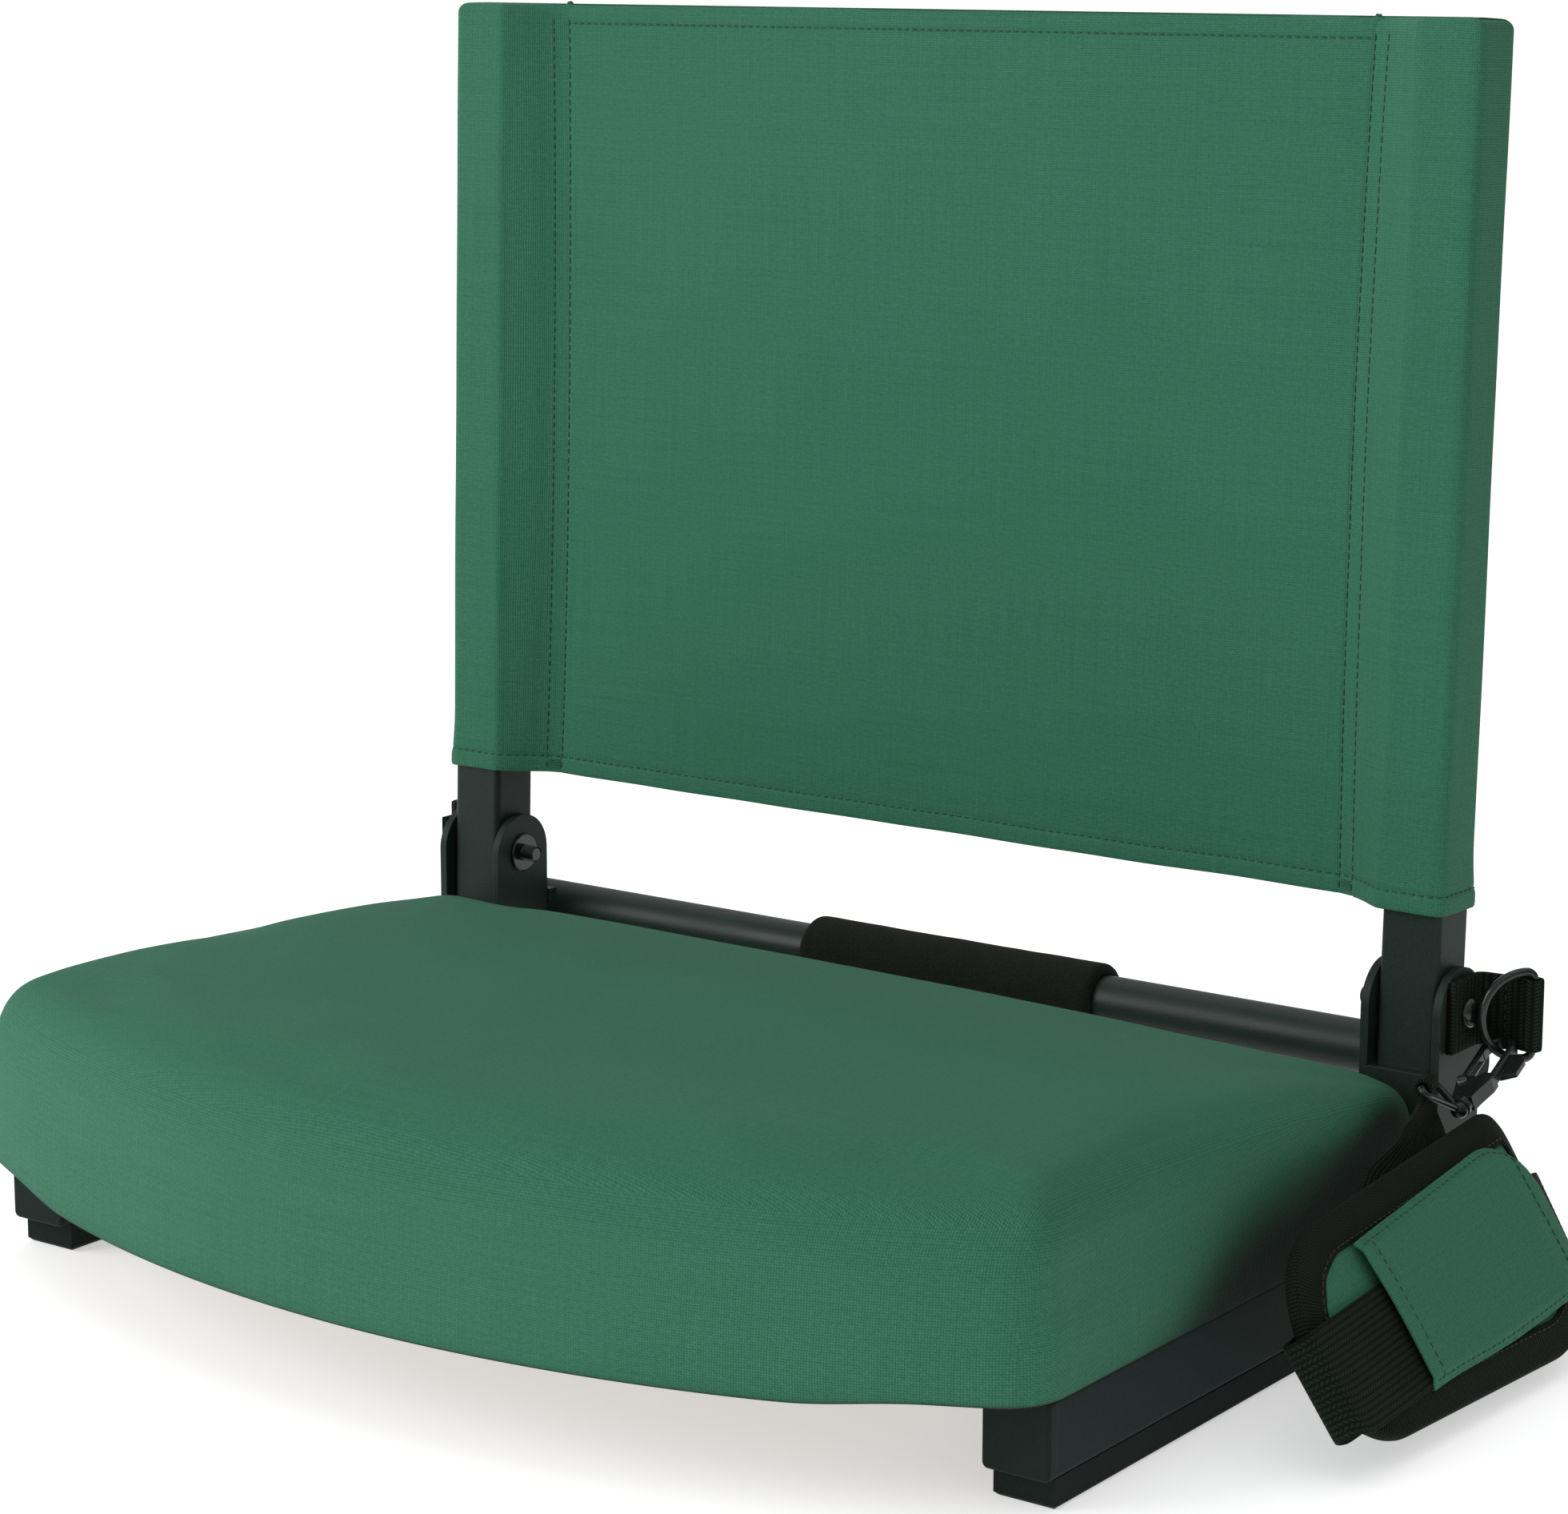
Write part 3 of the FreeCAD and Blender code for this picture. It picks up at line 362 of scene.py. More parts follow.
def web_mat(name, col, kind):
    """woven narrow tape; u runs along it, v across"""
    m, nt, b = new_mat(name, 0.72, 0.06, Sheen_Weight=0.012, Sheen_Roughness=0.5)
    co = uv_co(nt)
    u, v, _ = xyz(nt, co)
    if kind == "rib":           # ribs along the tape, each a row of slanted stitches
        pr, ps = 0.0021, 0.0016
        a, l = v, u
    elif kind == "cross":       # ribs across the tape
        pr, ps = 0.0027, 0.0013
        a, l = u, v
    else:                       # fine binding tape
        pr, ps = 0.0013, 0.0012
        a, l = u, v
    q = mth(nt, "DIVIDE", a, pr)
    fr = mth(nt, "FRACT", q)
    odd = mth(nt, "ABSOLUTE", mth(nt, "MODULO", mth(nt, "FLOOR", q), 2.0))
    sgn = mth(nt, "MULTIPLY_ADD", odd, 2.0, -1.0)
    slant = mth(nt, "MULTIPLY", mth(nt, "MULTIPLY", mth(nt, "SUBTRACT", fr, 0.5), sgn), 0.9)
    st = mth(nt, "FRACT", mth(nt, "ADD", mth(nt, "DIVIDE", l, ps), mth(nt, "MULTIPLY_ADD", odd, 0.5, slant)))
    rib = mth(nt, "POWER", mth(nt, "SINE", mth(nt, "MULTIPLY", fr, PI)), 0.7)
    tick = mth(nt, "POWER", mth(nt, "SINE", mth(nt, "MULTIPLY", st, PI)), 0.6)
    h = mth(nt, "MULTIPLY", rib, mth(nt, "MULTIPLY_ADD", tick, 0.82, 0.18))
    fuzz = nz(nt, co, 2600.0, 2.0)
    big = nz(nt, co, 40.0, 2.0)
    tone = mth(nt, "ADD", mth(nt, "MULTIPLY", h, 0.7), mth(nt, "MULTIPLY_ADD", fuzz, 0.35, mth(nt, "MULTIPLY", big, 0.2)))
    dark = tuple(x * 0.16 for x in col)
    light = tuple(min(1, x * 2.2 + 0.005) for x in col)
    c = mixc(nt, rng(nt, tone, 0.15, 0.65), dark, col)
    c = mixc(nt, rng(nt, tone, 0.65, 1.15), c, light)
    nt.links.new(c, b.inputs["Base Color"])
    bump(nt, b, mth(nt, "MULTIPLY_ADD", fuzz, 0.2, h), 0.9, 0.00045)
    return m


def coat_mat(name, col, rough, grain, depth, radius=0.0006, lift=1.9, coat=0.0, spec=0.5, metallic=0.0):
    """painted or moulded surface: fine grain, softened edges with a painted highlight along them, faint smudges"""
    m, nt, b = new_mat(name, rough, spec, Coat_Weight=coat, Coat_Roughness=0.15, Metallic=metallic)
    co = obj_co(nt)
    fine = nz(nt, co, grain, 2.0, 0.6)
    pits = vor(nt, co, grain * 0.8)
    big = nz(nt, co, 22.0, 3.0)
    nrm, edge = edge_round(nt, radius)
    tone = mth(nt, "ADD", mth(nt, "MULTIPLY", fine, 0.5), mth(nt, "MULTIPLY_ADD", pits, 0.25, mth(nt, "MULTIPLY", big, 0.35)))
    c = mixc(nt, rng(nt, tone, 0.25, 0.85), tuple(x * 0.78 for x in col), tuple(min(1, x * 1.2) for x in col))
    # painted highlight: colour lightened along the softened edges, broken up by noise
    edge_highlight = mth(nt, "MULTIPLY", edge, rng(nt, nz(nt, co, 160.0, 3.0), 0.30, 0.70, 0.25, 0.9))
    c = mixc(nt, edge_highlight, c, tuple(min(1, x * lift + 0.01) for x in col))
    nt.links.new(c, b.inputs["Base Color"])
    nt.links.new(rng(nt, mth(nt, "MULTIPLY_ADD", big, 0.6, mth(nt, "MULTIPLY", fine, 0.4)), 0.2, 0.8, max(0.05, rough - 0.07), min(1, rough + 0.07)), b.inputs["Roughness"])
    bump(nt, b, mth(nt, "MULTIPLY_ADD", pits, 0.5, fine), 0.5, depth, nrm)
    return m


# ------------------------------------------------------------------ materials
G_DARK, G_MID, G_LIGHT = (0.018, 0.092, 0.055), (0.037, 0.165, 0.099), (0.060, 0.222, 0.142)
M_GREEN = cloth_mat("green_fabric", G_DARK, G_MID, G_LIGHT)
M_GREEN3 = cloth_mat("green_upholstery", G_DARK, G_MID, G_LIGHT, tri=True)
M_WEB = web_mat("strap_weave", (0.0086, 0.0135, 0.0090), "rib")
M_TABWEB = web_mat("tab_weave", (0.0078, 0.0122, 0.0082), "cross")
M_BIND = web_mat("binding_weave", (0.0086, 0.0130, 0.0094), "fine")
# lift sets how much lighter the painted edge highlight is on each coat
M_PAINT = coat_mat("powder_coat", (0.0180, 0.0296, 0.0252), 0.46, 1500.0, 0.00008, spec=0.14)
M_RAIL = coat_mat("rail_coat", (0.0165, 0.0285, 0.0262), 0.55, 1500.0, 0.00008, spec=0.05)
M_BAR = coat_mat("bar_coat", (0.0180, 0.0296, 0.0252), 0.40, 1500.0, 0.00007, spec=0.26)
M_PLASTIC = coat_mat("cap_plastic", (0.0110, 0.0182, 0.0153), 0.5, 2200.0, 0.00005, spec=0.07)
M_RUBBER = coat_mat("runner_rubber", (0.0105, 0.0165, 0.0142), 0.7, 900.0, 0.00010, lift=1.5, spec=0.07)
M_BLACK = coat_mat("black_hardware", (0.0085, 0.0110, 0.0098), 0.22, 600.0, 0.00002, radius=0.0003, lift=2.2, coat=0.45, spec=0.3)
M_HOOK = coat_mat("hook_metal", (0.0095, 0.0125, 0.0110), 0.26, 700.0, 0.00002, radius=0.0004, lift=5.0, coat=0.3, spec=0.25)
M_ZINC = coat_mat("zinc_steel", (0.42, 0.43, 0.42), 0.34, 900.0, 0.00003, radius=0.0003, lift=1.2, metallic=1.0)
M_NYLON = coat_mat("bush_nylon", (0.050, 0.050, 0.048), 0.5, 1200.0, 0.00003)


def thread_mat(name, col):
    m, nt, b = new_mat(name, 0.6, 0.3, Sheen_Weight=0.1)
    co = obj_co(nt)
    t = nz(nt, co, 3500.0, 1.0)
    nt.links.new(mixc(nt, t, tuple(x * 0.6 for x in col), tuple(min(1, x * 1.35) for x in col)), b.inputs["Base Color"])
    bump(nt, b, t, 0.4, 0.00008)
    return m


M_THREAD = thread_mat("green_thread", (0.016, 0.080, 0.049))
M_THREADK = thread_mat("black_thread", (0.014, 0.015, 0.013))


def foam_mat(name, col):
    m, nt, b = new_mat(name, 0.92, 0.10, Sheen_Weight=0.02)
    co = obj_co(nt)
    cell = vor(nt, co, 1500.0)
    fine = nz(nt, co, 2400.0, 2.0)
    big = nz(nt, co, 45.0, 3.0)
    tone = mth(nt, "ADD", mth(nt, "MULTIPLY", cell, 0.6), mth(nt, "MULTIPLY_ADD", fine, 0.4, mth(nt, "MULTIPLY", big, 0.3)))
    c = mixc(nt, rng(nt, tone, 0.25, 0.95), tuple(x * 0.55 for x in col), tuple(min(1, x * 1.5) for x in col))
    nt.links.new(c, b.inputs["Base Color"])
    bump(nt, b, mth(nt, "MULTIPLY_ADD", fine, 0.5, cell), 0.8, 0.00025)
    return m


M_FOAM = foam_mat("grip_foam", (0.0095, 0.0125, 0.0095))


def ply_mat():
    m, nt, b = new_mat("plywood", 0.62, 0.3)
    co = obj_co(nt)
    grain = nz(nt, scaled(nt, co, (6.0, 90.0, 90.0)), 4.0, 4.0, 0.6)
    ring = nz(nt, scaled(nt, co, (1.0, 9.0, 9.0)), 6.0, 2.0)
    c = mixc(nt, rng(nt, grain, 0.3, 0.7), (0.20, 0.16, 0.12), (0.32, 0.27, 0.21))
    c = mixc(nt, rng(nt, ring, 0.45, 0.62, 0.0, 0.5), c, (0.16, 0.12, 0.09))
    nt.links.new(c, b.inputs["Base Color"])
    bump(nt, b, grain, 0.3, 0.0002)
    return m


M_PLY = ply_mat()

ALL_NODES = {
    M_RAIL: ["side_rail_right", "side_rail_left"],
    M_PAINT: ["hinge_plate_right_outer", "hinge_plate_right_inner",
              "hinge_plate_left_outer", "hinge_plate_left_inner", "recline_stop_right", "recline_stop_left",
              "seat_fixing_tabs", "back_upright_right", "back_upright_left"],
    M_PLASTIC: ["rail_front_cap_right", "rail_front_cap_left", "rail_rear_cap_right", "rail_rear_cap_left",
                "grab_bar_plugs", "upright_top_caps", "upright_foot_caps"],
    M_BAR: ["grab_bar", "grab_bar_welds"],
    M_RUBBER: ["runner_right", "runner_left"],
    M_NYLON: ["pivot_bushes"],
    M_BLACK: ["pivot_bolt_right", "pivot_bolt_left", "clinch_nuts", "d_ring_right", "d_ring_left"],
    M_HOOK: ["hook_body", "hook_gate", "strap_swivel"],
    M_ZINC: ["seat_screws", "cover_staples", "gate_leaf_spring", "gate_rivet"],
    M_PLY: ["seat_board"],
    M_FOAM: ["foam_grip", "seat_foam"],
    M_GREEN: ["seat_cover", "back_sling", "shoulder_pad", "pad_flap"],
    M_BIND: ["pad_binding"],
    M_WEB: ["strap_webbing", "strap_end", "web_tab_right", "web_tab_left"],
}
for material, names in ALL_NODES.items():
    for n in names:
        o = NODES[n]
        o.data.materials.clear()
        o.data.materials.append(material)


def piece(ob, material, body, slot, *nodes):
    ob.data.materials.clear()
    ob.data.materials.append(material)
    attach(ob, body)
    if nodes:
        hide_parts(*nodes)
    return ob


# ------------------------------------------------------------------ a patch: grid inside, loops around it
def rounded_path(segs, step=0.25):
    """dense points of lines ('l', p, q) and arcs ('a', c, r, f0, f1) in a plane"""
    out = []
    for s in segs:
        if s[0] == "l":
            p, q = np.array(s[1], float), np.array(s[2], float)
            n = max(2, int(np.linalg.norm(q - p) / step))
            t = np.linspace(0, 1, n, endpoint=False)[:, None]
            out.append(p + (q - p) * t)
        else:
            c, r, f0, f1 = np.array(s[1], float), s[2], s[3], s[4]
            n = max(3, int(abs(f1 - f0) * r / step))
            t = np.linspace(f0, f1, n, endpoint=False)
            out.append(c + r * np.stack([np.cos(t), np.sin(t)], 1))
    return np.concatenate(out)


class Loop:
    """closed outline, by distance along it"""

    def __init__(self, pts):
        self.p = np.concatenate([pts, pts[:1]])
        self.s = np.concatenate([[0], np.cumsum(np.linalg.norm(np.diff(self.p, axis=0), axis=1))])
        self.len = self.s[-1]

    def at(self, s):
        s = np.mod(s, self.len)
        return np.stack([np.interp(s, self.s, self.p[:, k]) for k in range(2)], -1)

    def out(self, s, h=0.6):
        d = unit(self.at(np.asarray(s) + h) - self.at(np.asarray(s) - h))
        n = np.stack([-d[..., 1], d[..., 0]], -1)
        return n if self.turn() < 0 else -n

    def turn(self):
        a, b = self.p[:-1], self.p[1:]
        return float((a[:, 0] * b[:, 1] - a[:, 1] * b[:, 0]).sum())

    def near(self, q):
        return float(self.s[np.argmin(np.linalg.norm(self.p - np.asarray(q), axis=1))])


def patch(corners, loop, marks, nv, nu):
    """inner grid with the given corners (bilinear, or a function), and its border matched to a loop at marks"""
    if callable(corners):
        G = np.array([[corners(p, q) for q in np.linspace(0, 1, nu + 1)] for p in np.linspace(0, 1, nv + 1)])
    else:
        c = [np.array(x, float) for x in corners]
        G = np.array([[(c[0] * (1 - p) + c[1] * p) * (1 - q) + (c[3] * (1 - p) + c[2] * p) * q
                       for q in np.linspace(0, 1, nu + 1)] for p in np.linspace(0, 1, nv + 1)])
    border = [(i, 0) for i in range(nv)] + [(nv, j) for j in range(nu)] + [(nv - i, nu) for i in range(nv)] + [(0, nu - j) for j in range(nu)]
    t, cnt = [], [nv, nu, nv, nu]
    for k in range(4):
        a, b = marks[k], marks[(k + 1) % 4]
        if b < a:
            b += loop.len
        t += list(a + (b - a) * np.arange(cnt[k]) / cnt[k])
    return G, border, np.array(t)


# ------------------------------------------------------------------ seat cushion
def seat_loop(d, rc_front, rc_rear):
    half, yr, ys, ym = 221.0, -4.5, -247.0, -306.0
    k = ys - ym
    rad = (half ** 2 + k ** 2) / (2 * k)
    yc = ym + rad
    X, rr, yb = half - d, rad - d, yr - d
    cx = X - rc_front
    cy = yc - math.sqrt((rr - rc_front) ** 2 - cx ** 2)
    f = math.atan2(cy - yc, cx)
    return Loop(rounded_path([
        ("l", (X, yb - rc_rear), (X, cy)),
        ("a", (cx, cy), rc_front, 0, f),
        ("a", (0, yc), rr, f, -PI - f),
        ("a", (-cx, cy), rc_front, -PI - f, -PI),
        ("l", (-X, cy), (-X, yb - rc_rear)),
        ("a", (-X + rc_rear, yb - rc_rear), rc_rear, PI, PI / 2),
        ("l", (-X + rc_rear, yb), (X - rc_rear, yb)),
        ("a", (X - rc_rear, yb - rc_rear), rc_rear, PI / 2, 0),
    ])), (cx, cy, f, X, yb, yc, rr)


def seat_arc(y):
    """height of the seat's top along it: the arc through three places"""
    (y1, z1), (y2, z2), (y3, z3) = (-4.5, 85.0), (-150.0, 97.5), (-306.0, 103.5)
    m = np.array([[y2 - y1, z2 - z1], [y3 - y1, z3 - z1]])
    k = 0.5 * np.array([y2 ** 2 - y1 ** 2 + z2 ** 2 - z1 ** 2, y3 ** 2 - y1 ** 2 + z3 ** 2 - z1 ** 2])
    cy, cz = np.linalg.solve(m, k)
    return cz + np.sqrt((y1 - cy) ** 2 + (z1 - cz) ** 2 - (np.asarray(y, float) - cy) ** 2)


def seat_cushion():
    rf, rr_ = 22.0, 13.0
    loop, (cx, cy, f, X, yb, yc, rad) = seat_loop(0.3, rf, rr_)
    fm = f / 2
    marks = [loop.near((X - rr_ + rr_ * 0.7071, yb - rr_ + rr_ * 0.7071)),
             loop.near((cx + rf * math.cos(fm), cy + rf * math.sin(fm))),
             loop.near((-cx - rf * math.cos(fm), cy + rf * math.sin(fm))),
             loop.near((-X + rr_ - rr_ * 0.7071, yb - rr_ + rr_ * 0.7071))]
    XI, YI = 180.0, yb - 34.0

    def inner(p, q):
        x = XI * (1 - 2 * q)
        yf = yc - math.sqrt((rad - 44.0) ** 2 - x ** 2)
        return np.array([x, YI + (yf - YI) * p])

    def crown(x, y):
        yf = yc - np.sqrt(np.maximum(rad ** 2 - x ** 2, 1))
        t = np.clip((y - yb) / (yf - yb), 0, 1)        # 0 at the rear, 1 at the front
        z = seat_arc(y) - 0.6 - 1.8 * (np.abs(x) / 205.0) ** 2.6
        z = z - x / 180.0 * (np.where(x > 0, 2.4 * (1 - sstep(0.03, 0.45, t)), 1.5 * (1 - sstep(0.03, 0.95, t))) + 0.4)    # fuller on one side
        z = z + 0.8 * sstep(80, 200, -x) * sstep(0.05, 0.75, t)
        return z - 2.2 * sstep(0.72, 1.0, t) ** 1.5

    nv, nu = 46, 84
    G, border, t = patch(inner, loop, marks, nv, nu)
    A = np.array([G[i, j] for i, j in border])
    B, N = loop.at(t), loop.out(t, 2.0)
    D = unit(A - B)
    reach = np.linalg.norm(A - B, axis=1)
    front, rear = sstep(0.2, 0.9, -N[:, 1]), sstep(0.3, 0.9, N[:, 1])
    R = 18.0 + 8.0 * front - 5.0 * rear
    SAG = 3.0 * sstep(0.75, 0.96, -N[:, 1]) * sstep(192, 150, np.abs(B[:, 0]))   # the front hangs a little between the rails
    ze = crown(*(B + D * R[:, None]).T)
    rings, TUCK = [], 1.6
    for g in (0.3, 0.65):
        P = A + (B + D * R[:, None] - A) * g
        rings.append(np.c_[P, crown(P[:, 0], P[:, 1])])
    for th in np.radians(np.arange(0, 91, 11.25)):
        P = B + D * (R * (1 - math.sin(th)))[:, None] - N * TUCK
        rings.append(np.c_[P, ze - R * (1 - math.cos(th))])
    zw, low = ze - R, 1.7
    for g in np.linspace(0, 1, 7)[1:]:
        z = zw + (36.0 - SAG + low - zw) * g
        rings.append(np.c_[B - N * (TUCK * (1 - sstep(0.1, 0.75, g))), z])
    for th in np.radians([30, 60, 90]):
        P = B - N * (low * (1 - math.cos(th)))
        rings.append(np.c_[P, 36.0 - SAG + low * (1 - math.sin(th))])
    for d in (6.0, 12.0, 18.0, 25.4):
        rings.append(np.c_[B - N * d, 36.0 - SAG * sstep(22.0, 3.0, d)])
    rings.append(np.c_[B - N * 25.8, np.full(len(B), 37.0)])
    rings.append(np.c_[B - N * 25.8, np.full(len(B), 42.0)])
    ng, nb = (nv + 1) * (nu + 1), len(border)
    verts = [np.c_[G.reshape(-1, 2), crown(G[..., 0], G[..., 1]).ravel()]] + rings
    faces = [[i * (nu + 1) + j, i * (nu + 1) + j + 1, (i + 1) * (nu + 1) + j + 1, (i + 1) * (nu + 1) + j]
             for i in range(nv) for j in range(nu)]
    edge = [i * (nu + 1) + j for i, j in border]
    prev = edge
    for k in range(len(rings)):
        cur = [ng + k * nb + i for i in range(nb)]
        faces += [[prev[i], cur[i], cur[(i + 1) % nb], prev[(i + 1) % nb]] for i in range(nb)]
        prev = cur
    # closed inside the board
    n2 = ng + len(rings) * nb
    verts.append(np.c_[G.reshape(-1, 2), np.full(ng, 42.0)])
    faces += [[prev[i], n2 + edge[i], n2 + edge[(i + 1) % nb], prev[(i + 1) % nb]] for i in range(nb)]
    faces += [[n2 + q for q in f[::-1]] for f in faces[:nv * nu]]
    V0 = np.concatenate(verts)
    ob = build("seat_cushion", V0, faces)
    outward(ob)
    # blown up a little from inside, with the stapled underside held
    pin = ob.vertex_groups.new(name="held")
    z = V0[:, 2]
    for lo, hi, w in ((0, 43.0, 1.0), (43.0, 48, 0.6)):
        pin.add([int(i) for i in np.where((z >= lo) & (z < hi))[0]], w, "REPLACE")
    c = modifier(ob, "CLOTH").settings
    c.quality = 6
    c.mass = 0.25
    c.tension_stiffness = c.compression_stiffness = 24.0
    c.shear_stiffness = 10.0
    c.bending_stiffness = 12.0
    c.air_damping = 3.0
    c.use_pressure = True
    c.uniform_pressure_force = 4.0
    c.vertex_group_mass = "held"
    c.effector_weights.gravity = 0.0
    sc = bpy.context.scene
    sc.frame_start, sc.frame_end = 1, 20
    for fr in range(1, 21):
        sc.frame_set(fr)
    apply_all(ob)
    sc.frame_set(1)
    co = np.array([v.co for v in ob.data.vertices]) * 1000 + np.array([OX, OY, 0])
    mv = co - V0
    ed = np.array([e.vertices[:] for e in ob.data.edges])
    deg = np.maximum(np.bincount(ed.ravel(), minlength=len(co)), 1)[:, None]
    held = (V0[:, 2] < 40.0)[:, None]
    for _ in range(14):
        acc = np.zeros_like(mv)
        np.add.at(acc, ed[:, 0], mv[ed[:, 1]])
        np.add.at(acc, ed[:, 1], mv[ed[:, 0]])
        mv = np.where(held, mv, 0.4 * mv + 0.6 * acc / deg)
    # only the swelling along the surface's own direction is kept
    ob.data.vertices.foreach_set("co", row(V0).astype(np.float32).ravel())
    ob.data.update()
    nrm = np.zeros(len(V0) * 3)
    ob.data.vertices.foreach_get("normal", nrm)
    nrm = nrm.reshape(-1, 3)
    out = (mv * nrm).sum(1)
    cap = np.where(V0[:, 2] > 66.0, 3.4, 2.2)
    out = np.where(out > 0, cap * np.tanh(out / cap), 0.4 * np.tanh(out / 0.4))
    out[held[:, 0]] = 0.0
    co = V0 + nrm * out[:, None]
    # the cover is pulled under between its staples: a little uneven along the lower edge and at the front corners
    lowish = sstep(62, 40, co[:, 2]) * sstep(36.5, 39.0, co[:, 2])
    ang = gnoise(co * np.array([1, 1, 0.25]), 26.0) + 0.6 * gnoise(co * np.array([1, 1, 0.3]), 11.0, (3.1, 1.7, 0.4))
    nxy = unit(np.c_[co[:, 0] * 0.55, co[:, 1] + 150.0])
    co[:, :2] += nxy * (0.55 * np.abs(ang) * lowish)[:, None]
    # long shallow dents of the foam
    top = sstep(78, 88, co[:, 2])
    co[:, 2] += top * (0.55 * gnoise(co, 95.0, (0.3, 7.7, 1.2)) + 0.22 * gnoise(co, 38.0, (5.3, 2.2, 0.1)))
    co[:, 0] = np.clip(co[:, 0], -221.6, 221.4)
    co[:, 1] = np.minimum(co[:, 1], -3.6)
    ob.data.vertices.foreach_set("co", row(co).astype(np.float32).ravel())
    ob.data.update()
    modifier(ob, "SUBSURF", levels=1, render_levels=1)
    apply_all(ob)
    ob.data.polygons.foreach_set("use_smooth", [True] * len(ob.data.polygons))
    piece(ob, M_GREEN3, "seat_base", "green_fabric", "seat_cover", "seat_foam")
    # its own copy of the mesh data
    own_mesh(ob)
    return ob, co


CUSHION, CUSHION_CO = seat_cushion()


# ------------------------------------------------------------------ back sling
LEAN = math.radians(1.85)


def leaned(x, y, z):
    """upright's own frame -> measuring frame"""
    return np.stack([x, 14.5 + y * math.cos(LEAN) + z * math.sin(LEAN), 100.0 + z * math.cos(LEAN) - y * math.sin(LEAN)], -1)


SL_Z0, SL_Z1 = 34.0, 330.3
SEAM = 175.0


def round_corner(a, b, c, r):
    """arc that rounds the corner b between a and c, as dense points"""
    a, b, c = (np.array(q, float) for q in (a, b, c))
    u, w = unit(a - b), unit(c - b)
    half = math.acos(np.clip(u @ w, -1, 1)) / 2
    t = r / math.tan(half)
    m = b + unit(u + w) * (r / math.sin(half))
    p, q = b + u * t, b + w * t
    f0 = math.atan2(*(p - m)[::-1])
    f1 = math.atan2(*(q - m)[::-1])
    if f1 - f0 > PI:
        f1 -= 2 * PI
    if f0 - f1 > PI:
        f1 += 2 * PI
    n = max(4, int(abs(f1 - f0) * r / 0.12))
    f = np.linspace(f0, f1, n)
    return m + r * np.stack([np.cos(f), np.sin(f)], 1)


def sling_section():
    XO, XI_, YO = 217.65, 194.2, 12.3
    half = [((SEAM, 0.75), 5.0), ((XI_, -YO), 3.0), ((XO, -YO), 3.4), ((XO, YO), 3.4), ((XI_, YO), 3.0), ((SEAM, 2.85), 5.0)]
    ring = half + [((-x, y), r) for (x, y), r in half[::-1]]
    n = len(ring)
    pts = []
    for i in range(n):
        a, (b, r), c = ring[i - 1][0], ring[i], ring[(i + 1) % n][0]
        arc = round_corner(a, b, c, r)
        if pts:
            p, q = pts[-1][-1], arc[0]
            k = max(2, int(np.linalg.norm(q - p) / 0.25))
            pts.append(p + (q - p) * np.linspace(0, 1, k)[1:-1, None])
        pts.append(arc)
    p, q = pts[-1][-1], pts[0][0]
    k = int(np.linalg.norm(q - p) / 0.25)
    pts.append(p + (q - p) * np.linspace(0, 1, k)[1:-1, None])
    return Loop(np.concatenate(pts))


SEC = sling_section()
SEC_TURN = SEC.turn()


